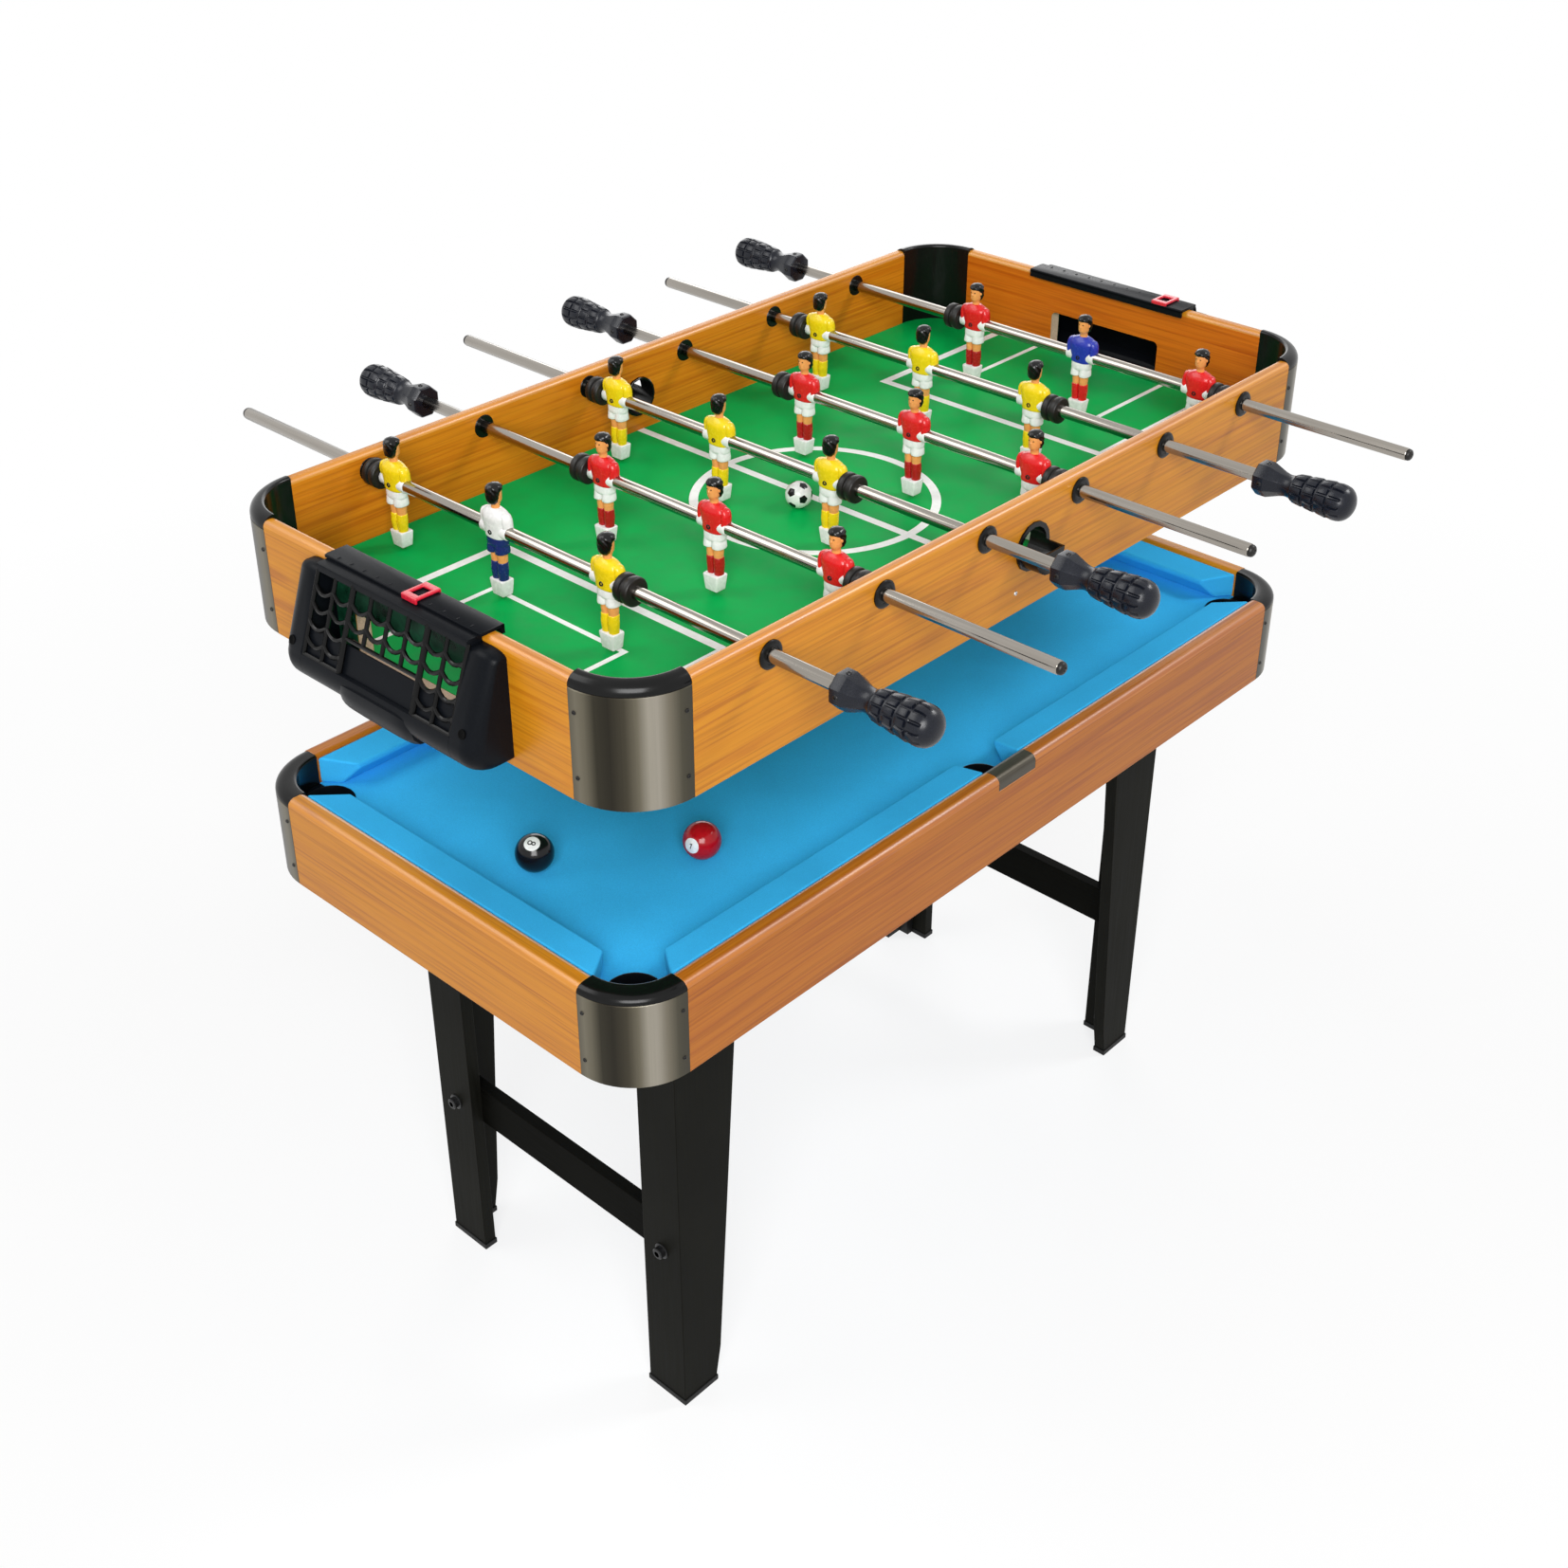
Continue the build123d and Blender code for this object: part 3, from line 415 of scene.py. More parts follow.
def wood_wall(node, body, woods):
    """A rail or wall in its woods: outside, rounded top, inside, and bare board at a goal mouth."""
    wall = softened(node, body, woods[FACE], 0.5)
    for finish in woods[EDGE:]:
        wall.data.materials.append(finish)
    across = 1 if woods[FACE] in (pool_wood_x, tray_wood_x) else 0
    for face in wall.data.polygons:
        inward = face.normal[across] * face.center[across] < 0
        at_mouth = (abs(face.normal.x) < 0.3 and abs(face.center.y) / MM < mouth_half + 1
                    and abs(face.center.z / MM - mouth_level) < mouth_reach)
        if at_mouth and len(woods) > BARE:
            face.material_index = BARE
        elif edge_low < face.normal.z < edge_high:
            face.material_index = EDGE
        elif inward and abs(face.normal[across]) > 0.9:
            face.material_index = INNER


for node in ("rail_front", "rail_back"):
    wood_wall(node, "table", (pool_wood_x, pool_edge_x, pool_wood_x))
for node in ("rail_left", "rail_right"):
    wood_wall(node, "table", (pool_wood_y, pool_edge_y, pool_wood_y))
# Tray walls: their inner faces take the woods with painted shade
for node in ("tray_wall_front", "tray_wall_back"):
    wood_wall(node, "tray", (tray_wood_x, tray_edge_x, shaded_inner_side_wood))
for node in ("tray_wall_left", "tray_wall_right"):
    wood_wall(node, "tray", (tray_wood_y, tray_edge_y, shaded_inner_end_wood, raw_board))

# Corner mouldings

sleeve_thickness = 1.5
lip_outer_round = 11.5
lip_inner_round = 3
corner_steps = 16
corner_screw_radius = 2.1
corner_screw_turn = 5
corner_screw_shares = (0.22, 0.8)
pool_corner_radius = 68
pool_corner_wall = 22
tray_corner_radius = 70
tray_corner_wall = 15


def corner_sweep(bm, centre, quadrant, section):
    """A closed section of (radius, height) points swept round one corner."""
    rings = []
    for step in range(corner_steps + 1):
        turn = pi / 2 * step / corner_steps
        rings.append([(quadrant[0] * (centre[0] + radius * cos(turn)),
                       quadrant[1] * (centre[1] + radius * sin(turn)), height)
                      for radius, height in section])
    skin(bm, rings)


def corner_set(prefix, body, radius, thickness):
    """The four mouldings, sleeves and sleeve screws of one frame."""
    low, high = box(prefix + "_corner_posts")
    sleeve_top = box(prefix + "_corner_sleeves")[1].z
    lip_height = high.z - sleeve_top - 1
    centre = (high.x - radius, high.y - radius)
    inner = radius - thickness
    core = radius - sleeve_thickness
    lip = ([(inner, low.z)]
           + arc((inner + lip_inner_round, high.z - lip_inner_round), lip_inner_round, 180, 90)
           + arc((radius - lip_outer_round, sleeve_top + 1), lip_outer_round, 90, 0, 8, lip_height)
           + [(radius - 0.6, sleeve_top + 0.2), (core, sleeve_top + 0.2), (core, low.z)])
    skin_edge = 0.5
    cover = ((core + 0.1, low.z), (radius - skin_edge, low.z), (radius, low.z + skin_edge),
             (radius, sleeve_top - skin_edge), (radius - skin_edge, sleeve_top),
             (core + 0.1, sleeve_top))
    posts = bmesh.new()
    sleeves = bmesh.new()
    screws = bmesh.new()
    for quadrant in QUADRANTS:
        corner_sweep(posts, centre, quadrant, lip)
        corner_sweep(sleeves, centre, quadrant, cover)
        side_x, side_y = quadrant
        for degrees in (corner_screw_turn, 90 - corner_screw_turn):
            turn = radians(degrees)
            way = Vector((side_x * cos(turn), side_y * sin(turn), 0))
            for share in corner_screw_shares:
                height = low.z + share * (sleeve_top - low.z)
                middle = Vector((side_x * centre[0], side_y * centre[1], height))
                screw(screws, middle + way * radius, way, corner_screw_radius)
    finish_piece(prefix + "_corner_lips", posts, body, [gloss_black],
                 [prefix + "_corner_posts"])
    finish_piece(prefix + "_corner_covers", sleeves, body, [gunmetal_painted_reflection],
                 [prefix + "_corner_sleeves"])
    finish_piece(prefix + "_corner_screws", screws, body, [rubber])


corner_set("pool", "table", pool_corner_radius, pool_corner_wall)
corner_set("tray", "tray", tray_corner_radius, tray_corner_wall)

# Pool bed, cushions, pockets and caps

pocket_rim = 2
pocket_sides = 48
plate_drop = 1.2
plate_thickness = 1.5
dress("pool_bed", felt)
softened("cushions", "table", felt, 2.2, 3, 20)
softened("side_pocket_caps", "table", cap_metal, 0.6)


def pocket(bm, centre, radius, depth, top, reach):
    """A cup with a rolled rim, and a plate round it that fills its notch in the bed."""
    outer = radius + pocket_rim
    profile = ((-depth, outer - 1), (-depth + 1, outer), (-1, outer), (0.2, outer - 0.6),
               (0.4, radius + 0.6), (-0.6, radius), (-depth + 3, radius), (-depth + 2, radius - 1))
    lathe(bm, profile, aim((centre[0], centre[1], top), (0, 0, 1)), pocket_sides)
    rings = []
    for drop, wide in ((plate_drop, 0), (plate_drop, 1), (plate_drop + plate_thickness, 1),
                       (plate_drop + plate_thickness, 0)):
        ring = []
        for turn in full_turn(pocket_sides):
            way = Vector((cos(turn), sin(turn), 0))
            distance = max(outer + 0.2, reach(way)) if wide else outer - 0.8
            ring.append(Vector((*centre, top - drop)) + way * distance)
        rings.append(ring)
    skin(bm, rings, closed=True)


def corner_reach(offset, radius):
    """How far a corner's plate runs from the pocket's centre, to the moulding or the notch."""
    def reach(way):
        along = way.dot(offset)
        to_moulding = sqrt(along ** 2 - offset.length_squared + radius ** 2) - along
        to_notch = [-offset[k] / way[k] for k in (0, 1) if way[k] * offset[k] < 0]
        return min([to_moulding] + to_notch)
    return reach


def side_reach(half, depth, side):
    """How far a side pocket's plate runs, to the sides of its notch or to the rail."""
    def reach(way):
        limits = [half / max(abs(way.x), 1e-6)]
        limits.append(depth / (way.y * side) if way.y * side > 1e-6 else 0)
        return min(limits)
    return reach


cup_low, cup_high = box("pocket_cups")
bed_high = box("pool_bed")[1]
pool_post_high = box("pool_corner_posts")[1]
pocket_depth = cup_high.z - cup_low.z
corner_cup = 25
side_cup = 22
pool_corner_inner = pool_corner_radius - pool_corner_wall
corner_cup_x = cup_high.x - corner_cup - pocket_rim
side_cup_y = cup_high.y - side_cup - pocket_rim
corner_offset = (pool_corner_inner - corner_cup - pocket_rim - 0.6) / sqrt(2)
corner_cup_y = pool_post_high.y - pool_corner_radius + corner_offset
pockets = bmesh.new()
for side_x, side_y in QUADRANTS:
    offset = Vector((side_x * corner_offset, side_y * corner_offset, 0))
    pocket(pockets, (side_x * corner_cup_x, side_y * corner_cup_y), corner_cup, pocket_depth,
           bed_high.z, corner_reach(offset, pool_corner_inner - 0.3))
for side in (-1, 1):
    pocket(pockets, (0, side * side_cup_y), side_cup, pocket_depth, bed_high.z,
           side_reach(side_cup + pocket_rim + 0.2, bed_high.y - side_cup_y, side))
finish_piece("pocket_liners", pockets, "table", [satin_black], ["pocket_cups"])

# Legs, feet, crossbars and bolts

for node in ("leg_front_left", "leg_front_right", "leg_back_left", "leg_back_right"):
    softened(node, "table", board_black, 0.8)
softened("leg_blocks", "table", board_black, 0.8)
softened("crossbars", "table", bar_black, 0.8)
softened("leg_feet", "table", foot_black, 1)

bolt_low, bolt_high = box("leg_bolts")
washer_radius = 9
head_radius = 6.5
head_height = 6
washer_height = 1.5
socket_radius = 3.6
head_top = washer_height + head_height
bolts = bmesh.new()
bolt_face = bolt_high.x - head_top
bolt_y = bolt_high.y - washer_radius
bolt_z = (bolt_low.z + bolt_high.z) / 2
for side_x, side_y in QUADRANTS:
    place = aim((side_x * bolt_face, side_y * bolt_y, bolt_z), (side_x, 0, 0))
    lathe(bolts, ((-2, washer_radius - 3), (-0.2, washer_radius), (washer_height - 0.4, washer_radius),
                  (washer_height, washer_radius - 0.6), (washer_height, head_radius),
                  (head_top - 1, head_radius), (head_top, head_radius - 1.2),
                  (head_top, socket_radius)), place, 28)
    lathe(bolts, ((head_top, socket_radius), (head_top - 3.5, socket_radius - 0.2)), place, 6)
finish_piece("leg_bolts_finished", bolts, "table", [black_steel], ["leg_bolts"])

# Playing field with its printed lines

line_lift = 0.25
line_sink = 0.1
line_margin = 0.2
line_width = 9.4
thin_line_width = 5.6
centre_radius = 125
penalty_x = 290
penalty_half = 152
goal_area_x = 354
goal_area_half = 90
field_high = box("playfield")[1]
line_low = field_high.z - line_sink
line_high = field_high.z + line_lift
dress("playfield", field_green)
lines = bmesh.new()


def line(x0, y0, x1, y1, width=line_width):
    """One printed line, along X or Y."""
    half = width / 2
    slab(lines, (min(x0, x1) - half, min(y0, y1) - half, line_low),
         (max(x0, x1) + half, max(y0, y1) + half, line_high))


circle = ((line_low, -1), (line_high, -1), (line_high, 1), (line_low, 1))
lathe(lines, [(height, centre_radius + side * line_width / 2) for height, side in circle],
      aim((0, 0, 0), (0, 0, 1)), 96, closed=True)
field_edge = field_high.y - line_width / 2 - line_margin
goal_line = field_high.x - line_width / 2 - line_margin
line(0, line_width - centre_radius, 0, centre_radius - line_width)
for end in (-1, 1):
    line(0, end * (centre_radius + line_width), 0, end * field_edge)
    line(end * penalty_x, -penalty_half, end * penalty_x, penalty_half)
    line(end * goal_area_x, -goal_area_half, end * goal_area_x, goal_area_half, thin_line_width)
    for side in (-1, 1):
        line(end * (penalty_x + line_width), side * penalty_half, end * goal_line, side * penalty_half)
        line(end * (goal_area_x + thin_line_width), side * goal_area_half, end * goal_line,
             side * goal_area_half, thin_line_width)
finish_piece("field_lines", lines, "tray", [line_white])

# Ball feed cups

softened("ball_cups", "tray", gloss_black, 0.7)

# Goals: housing with trough and screw wells, net, and the plate behind it

goal_half = 132
cheek = 30
cheek_round = 17
cheek_middle = 60
goal_depth = 43
top_depth = 16
housing_top = 116
cheek_top = 110
rail_half = 106
rail_reach = 4
rail_lip = 9
rail_hook = 18.3
rail_lip_thickness = 3
belly_centre = (22, 26.9)
belly_round = 22.9
belly = arc(belly_centre, belly_round, 23, -90, 10)
cheek_section = ([(0, 4)] + belly[::-1] + [(goal_depth, 38)]
                 + arc((top_depth - 7, cheek_top - 8), 8, 18, 90, 5) + [(0, cheek_top)])
trough_outer = [(0, 4)] + belly[::-1] + [(goal_depth - 0.5, 36)]
trough_inner = [(goal_depth - 4, 36)] + arc(belly_centre, belly_round - 3, 23, -90, 10) + [(0, 7)]
scoop_half = 50
scoop_steps = 16
scoop_middle = (30, 14)
scoop_section = ((40, 31), (46.5, 30), (47, 22), (44, 8), (36, -1), (24, -3.5), (17.5, -2), (17.5, 5),
                 (26, 3), (34, 6), (39, 14), (41, 24))
scoop_wall = ((40.1, 30), (29.9, 59), (29.3, 60), (28.3, 60), (27.7, 59), (37.9, 30))
well_out = 40.8
well_up = 44
well_profile = ((-0.6, 4.4), (0.3, 4.4), (0.5, 4), (0.1, 3.5), (0, 1))
mark_count = 11
mark_pitch = 18
mark_out = 1.5
mark_length = 3.5
mark_width = 1
mark_height = 0.3
net_columns = 8
net_rows = 5
gap_columns = 4
gap_rows = 2
strand = 2.1
strand_sag = 6
strand_steps = 6
net_low_out = 40.5
net_low_up = 36
net_high_out = 13.5
net_high_up = 112
net_half = goal_half - cheek - 0.5
tray_low = box("tray_wall_left")[0]
tray_end = box("tray_wall_right")[1].x


def goal_point(side, out, across, up):
    """A point measured out from the end wall, along it and up from the tray's base."""
    return Vector((side * (tray_end + out), across, tray_low.z + up))


def net_point(side, column, row):
    """A point of the leaning net, counted in columns from its middle and rows from its foot."""
    share = row / net_rows
    return goal_point(side, net_low_out + share * (net_high_out - net_low_out),
                      column * 2 * net_half / net_columns,
                      net_low_up + share * (net_high_up - net_low_up))


def make_net(side, node):
    """Strands of one moulded net, with scalloped rows and an open gap at the lower middle."""
    bm = bmesh.new()
    reach = net_columns / 2
    gap = gap_columns / 2
    sag = strand_sag / ((net_high_up - net_low_up) / net_rows)
    for i in range(net_columns + 1):
        column = i - reach
        foot = gap_rows if abs(column) < gap else 0
        tube(bm, [net_point(side, column, foot + (net_rows - foot) * k / 8) for k in range(9)],
             strand * (1.4 if abs(column) == gap else 1))
    for row in range(net_rows + 1):
        runs = ((-reach, reach),)
        if row < gap_rows:
            runs = ((-reach, -gap), (gap, reach))
        for start, end in runs:
            points = []
            count = int((end - start) * strand_steps)
            for k in range(count + 1):
                column = start + k / strand_steps
                part = column % 1
                drop = 0 if row in (0, net_rows) or abs(column) < gap and row == gap_rows else sag
                points.append(net_point(side, column, row - drop * 4 * part * (1 - part)))
            tube(bm, points, strand)
    finish_piece(node + "_strands", bm, "tray", [net_black], [node])


def cheek_rings(side, flank):
    """Sections of one pillow-shaped cheek, from the net to its rounded outer end."""
    rings = []
    stations = [goal_half - cheek, goal_half - cheek + 0.8] + [
        goal_half - cheek_round + cheek_round * sin(pi / 2 * k / 8) for k in range(9)]
    for k, across in enumerate(stations):
        past = max(across - (goal_half - cheek_round), 0) / cheek_round
        inset = cheek_round * (1 - sqrt(1 - min(past, 1) ** 2)) + (1 if k == 0 else 0)
        shrink = 1 - inset / goal_depth
        rings.append([goal_point(side, out * shrink, flank * across,
                                 cheek_middle + (up - cheek_middle) * (1 - 0.3 * inset / goal_depth))
                      for out, up in cheek_section])
    return rings


def make_goal(side, node):
    """Moulded housing: two cheeks with screw wells, a top bar with the score rail, and a trough."""
    bm = bmesh.new()
    for flank in (-1, 1):
        skin(bm, cheek_rings(side, flank))
    top = box(node)[1].z - tray_low.z
    bars = ((0, top_depth, net_half + 1, net_high_up - 3, housing_top, 1.5),
            (-rail_hook - rail_lip_thickness, rail_reach, rail_half, housing_top, top, 1.2),
            (-rail_hook - rail_lip_thickness, -rail_hook, rail_half, top - rail_lip, top - 1.4, 0.8))
    for near, far, half, low, high, round_by in bars:
        section = (arc((far - round_by, high - round_by), round_by, 0, 90, 3)
                   + arc((near + round_by, high - round_by), round_by, 90, 180, 3)
                   + [(near, low), (far, low)])
        skin(bm, [[goal_point(side, near + round_by + (out - near - round_by) * ease, across,
                              low + (up - low) * (0.96 + 0.04 * ease)) for out, up in section]
                  for across, ease in ((-half, 0.9), (-half + 0.8, 1), (half - 0.8, 1), (half, 0.9))])
    trough = trough_outer + trough_inner
    skin(bm, [[goal_point(side, out, across, up) for out, up in trough]
              for across in (-net_half - 1, net_half + 1)])
    rings = []
    middle_out, middle_up = scoop_middle
    for k in range(scoop_steps + 1):
        share = 2 * k / scoop_steps - 1
        ease = 1 - abs(share) ** 6
        rings.append([goal_point(side, middle_out + (out - middle_out) * (0.78 + 0.22 * ease),
                                 scoop_half * share,
                                 middle_up + (up - middle_up) * (0.72 + 0.28 * ease))
                      for out, up in scoop_section])
    skin(bm, rings)
    skin(bm, [[goal_point(side, out, across, up) for out, up in scoop_wall]
              for across in (-net_half - 0.5, net_half + 0.5)])
    # Screw wells, lined with painted shade
    for flank in (-1, 1):
        well = goal_point(side, well_out, flank * (goal_half - cheek / 2), well_up)
        lean = Vector((side * (net_high_up - net_low_up), 0, net_low_out - net_high_out))
        lathe(bm, well_profile, aim(well, lean), 20, 1)
    for k in range(mark_count):
        across = (k - (mark_count - 1) / 2) * mark_pitch
        slab(bm, goal_point(side, mark_out, across - mark_width / 2, top - 0.1),
             goal_point(side, mark_out - mark_length, across + mark_width / 2, top + mark_height))
    finish_piece(node + "_housing", bm, "tray", [satin_black, painted_shade_black],
                 [node], 40)


liner_half = goal_half - cheek - 0.6
liner_low = 8
liner_high = 112
liner_thickness = 0.8
liner_gap = 0.2


def make_liner(side, name):
    """A mottled plate behind the net, with the goal mouth cut in it and a near-black band below the mouth
    that is painted shade.
    """
    bm = bmesh.new()
    low_up = mouth_level - tray_low.z - mouth_height / 2 - liner_gap
    high_up = low_up + mouth_height + 2 * liner_gap
    open_half = mouth_half + liner_gap
    # The last slab, below the mouth, is the band of painted shade
    for start, end, low, high, material in ((-liner_half, -open_half, low_up, liner_high, 0),
                                            (open_half, liner_half, low_up, liner_high, 0),
                                            (-open_half, open_half, high_up, liner_high, 0),
                                            (-liner_half, liner_half, liner_low, low_up, 1)):
        near = goal_point(side, 0.05, start, low)
        slab(bm, near, goal_point(side, liner_thickness, end, high), material)
    finish_piece(f"goal_{name}_liner", bm, "tray", [liner_green, painted_shade_black])


for end, name in ((-1, "left"), (1, "right")):
    make_goal(end, "goal_" + name)
    make_net(end, "net_" + name)
    make_liner(end, name)
    softened("score_slider_" + name, "score_" + name, slider_red, 1.2, 3)

# Rods, bushings and bumpers

rod_radius = 6.35
bore = 6.45
bumper_length = 18
rod_numbers = range(1, ROD_COUNT + 1)
wall_face = box("tray_wall_back")[1].y
wall_thickness = wall_face - box("tray_wall_back")[0].y
bushing_profile = [(-wall_thickness - 0.8, bore), (-wall_thickness - 0.8, 11.6),
                   (-wall_thickness, 12.2), (-wall_thickness, 9.4), (0, 9.4), (0, 13.4),
                   (1.4, 13.4), (2.6, 12.2), (3, 11), (3, 8.6), (2.2, 8), (2.2, bore)]
bumper_profile = [(0, bore), (0, 12.4), (0.5, 13.4), (1.5, 14), (6, 14), (7, 13.6), (7.6, 12),
                  (8.4, 11.6), (9.6, 11.6), (10.4, 12), (11, 13.6), (12, 14), (16.5, 14),
                  (17.5, 13.4), (bumper_length, 12.4), (bumper_length, bore)]


def axis_of(node):
    """Where a rod's axis passes the middle of the table, from the box of a node on it."""
    low, high = box(node)
    return Vector(((low.x + high.x) / 2, 0, (low.z + high.z) / 2))


bushings = bmesh.new()
for number in rod_numbers:
    name = f"rod_{number}"
    low, high = box(name)
    axis = axis_of(name)
    length = high.y - low.y
    rod = bmesh.new()
    lathe(rod, ((0, rod_radius - 1.2), (0.4, rod_radius - 0.3), (1, rod_radius), (length - 1, rod_radius),
                (length - 0.4, rod_radius - 0.3), (length, rod_radius - 1.2)),
          Matrix.Translation((axis.x, low.y, axis.z)), 40)
    finish_piece(name + "_tube", rod, name, [chrome], [name])
    bumpers = bmesh.new()
    bumper_low, bumper_high = box(name + "_bumpers")
    for start in (bumper_low.y, bumper_high.y - bumper_length):
        lathe(bumpers, bumper_profile, Matrix.Translation((axis.x, start, axis.z)), 36,
              closed=True)
    finish_piece(name + "_bumper_pair", bumpers, f"bumpers_{number}", [rubber],
                 [name + "_bumpers"])
    for side in (-1, 1):
        lathe(bushings, bushing_profile, aim(axis + Vector((0, side * wall_face, 0)), (0, side, 0)),
              36, closed=True)
finish_piece("bushings_finished", bushings, "tray", [gloss_black], ["rod_bushings"])

# Handles and end plugs

handle_length = 102
blocks = 12
block_steps = 8
groove_steps = 2
ring_start = 39.5
ring_length = 13.5
ring_tops = (15.4, 16.8, 18)
groove_depth = 2.3
collar_stations = ((0, 12.4), (0.4, 14.6), (1.6, 15.8), (4, 16.2), (12, 16.1), (13, 15.9), (20, 13.4),
                   (26, 11.5), (30, 10.9), (33, 10.8), (36, 11.2), (38.5, 12))
dome_stations = ((80.8, 15.8), (81.6, 17.6), (85, 18), (89, 17.7), (92, 17), (94, 16.2),
                 (96.5, 14.4), (98.8, 11.8), (100.6, 8.4), (101.6, 5), (101.9, 1.5))
slot_start = 81
slot_end = 93
handle_screw_along = 9
handle_screw_out = 15.9
handle_screw_radius = 2.6


def octagon(turn):
    """How much further an octagon with rounded corners reaches than its flats."""
    part = (turn + pi / 8) % (pi / 4) - pi / 8
    return min(1 / cos(part), 1.078)


def handle_rings():
    """Rings of (distance, radii): an octagonal collar, rings of staggered blocks, a slotted dome."""
    count = blocks * block_steps
    turns = full_turn(count)
    rings = []
    for along, flat in collar_stations:
        square = min(max((32 - along) / 8, 0), 1)
        rings.append((along, [flat * (1 + square * (octagon(t) - 1)) for t in turns]))
    for ring, top in enumerate(ring_tops):
        offset = ring % 2 * block_steps // 2
        start = ring_start + ring * ring_length
        for along, lift in ((0.2, -groove_depth), (1.6, -groove_depth), (2.4, -1.3), (3.2, -1),
                            (11, 0), (12, -0.3), (12.6, -groove_depth)):
            floor = top - groove_depth
            radii = [floor if (i + offset) % block_steps < groove_steps else top + lift
                     for i in range(count)]
            rings.append((start + along, radii))
    for along, radius in dome_stations:
        slotted = slot_start < along < slot_end
        rings.append((along, [radius - groove_depth if slotted and i % block_steps < groove_steps
                              else radius for i in range(count)]))
    return rings, turns


def make_handle(number):
    """The handle at one end of a rod, its screws, and the domed plug at the other end."""
    name = f"rod_{number}_handle_and_plug"
    low, high = box(name)
    rod_low, rod_high = box(f"rod_{number}")
    way = 1 if number % 2 == 0 else -1
    axis = axis_of(name)
    end = high.y if way > 0 else low.y
    start = aim((axis.x, end - way * handle_length, axis.z), (0, way, 0))
    tip = aim((axis.x, rod_low.y if way > 0 else rod_high.y, axis.z), (0, -way, 0))
    bm = bmesh.new()
    rings, turns = handle_rings()
    skin(bm, [[start @ Vector((r * cos(t), along, r * sin(t)))
               for r, t in zip(radii, turns)] for along, radii in rings])
    screw_place = Vector((axis.x, end - way * (handle_length - handle_screw_along), axis.z))
    for facing in (Vector((0, 0, 1)), Vector((-1, 0, 0))):
        screw(bm, screw_place + facing * handle_screw_out, facing, handle_screw_radius, 1)
    lathe(bm, ((-8, 5), (0, 5), (0, rod_radius - 0.4), (1.5, rod_radius - 0.5), (3, rod_radius - 1.2),
               (4, rod_radius - 2.6), (4.2, rod_radius - 4), (3.4, rod_radius - 4.4)), tip, 28, 2)
    finish_piece(f"rod_{number}_grip", bm, f"rod_{number}",
                 [handle_navy, black_steel, rubber], [name], 30)


for number in rod_numbers:
    make_handle(number)

# Moulded figures

SKIN, HAIR, SHIRT, SHORTS, SOCKS, WHITE, SCREW, LIPS = range(8)
player_pitch = 150
torso_rows = ((0, 0, -7.6, 7.4, 11.6), (0, 0, -6.6, 8.2, 12.6), (0, 0, -2, 8.5, 13.4),
              (0, 0, 5, 9, 14.4), (0, 0, 11, 9.4, 15.4), (0, 0, 15, 9, 15.4), (0, 0, 18.4, 7.4, 13.4),
              (0, 0, 20.6, 5.8, 9.4), (0, 0, 21.8, 4.6, 6))
arm_rows = ((0, 11.4, 19.2, 2.8, 2.4), (0, 13.6, 17.4, 5, 3.8), (0.2, 15, 12.6, 5.8, 4.3),
            (0.5, 15.3, 7.4, 5.8, 4.2), (0.9, 15, 3, 5.6, 3.9), (1.4, 14.2, -2, 5, 3.6),
            (1.8, 13, -5.4, 3, 2.6))
head_rows = ((0.2, 0, 19.5, 4.2, 4.6), (0.2, 0, 24, 4, 4.2), (0.8, 0, 26.4, 4.8, 4.4),
             (0.7, 0, 28.6, 6.2, 5.4), (0.3, 0, 32, 6.9, 6), (0, 0, 36, 7.2, 6.3), (0, 0, 40, 6.9, 6),
             (0, 0, 43, 5.4, 4.8), (0, 0, 44.6, 2.4, 2.2))
hair_rows = ((-3.2, 0, 26, 2, 3.6), (-3.4, 0, 28, 3.8, 5.6), (-3, 0, 31.5, 5, 7),
             (-2.4, 0, 35.5, 5.8, 7.4), (-1.6, 0, 38.4, 6.6, 7.5), (-0.3, 0, 40.2, 8.1, 7.5),
             (-0.1, 0, 42.4, 7.8, 7), (0, 0, 44.6, 5.8, 5.2), (0, 0, 45.9, 1.8, 1.6))
hair_waves = 7
hair_wave_depth = 0.045
hip_rows = ((0, 0, -5, 7.2, 11), (0, 0, -9, 7.8, 11.6), (0, 0, -15, 7.8, 11.4), (0, 0, -17, 5.4, 8.6))
shorts_rows = ((0, 5.2, -12, 7, 5), (0, 5.4, -17, 7.5, 5.8), (0.1, 5.5, -22.6, 7.8, 6.1),
               (0.1, 5.5, -23.6, 6.8, 5.2))
thigh_rows = ((0.1, 4.7, -21, 5.2, 4.5), (0.2, 4.6, -28, 5.2, 4.4), (0.3, 4.5, -32, 4.9, 4.2),
              (0.2, 4.4, -36, 4.5, 4))
sock_rows = ((0.2, 4.5, -33.2, 4.9, 4.3), (0.2, 4.5, -34, 5.4, 4.7), (0.1, 4.5, -36, 5.4, 4.7),
             (-0.2, 4.5, -42, 5.6, 4.7), (-0.1, 4.4, -48, 5, 4.4), (0, 4.4, -53, 4.8, 4.3))
boot_rows = ((0.8, 0, -51.4, 6.6, 8.8), (0.8, 0, -51.8, 7.2, 9.4), (0.8, 0, -52.8, 7.4, 9.6),
             (1, 0, -66.6, 6.3, 7.9), (1, 0, -67.7, 6.1, 7.6), (1, 0, -68, 5.5, 7))
hub_radius = 7.2
hub_half = 18


def smooth_rows(rows, parts):
    """Rows along a limb with points of a smooth curve put between them."""
    padded = [rows[0], *rows, rows[-1]]
    result = []
    for around in zip(padded, rows, rows[1:], padded[3:]):
        for step in range(parts):
            t = step / parts
            result.append([0.5 * (2 * b + (c - a) * t + (2 * a - 5 * b + 4 * c - d) * t ** 2
                                  + (3 * b - a - 3 * c + d) * t ** 3)
                           for a, b, c, d in zip(*around)])
    return result + [list(rows[-1])]


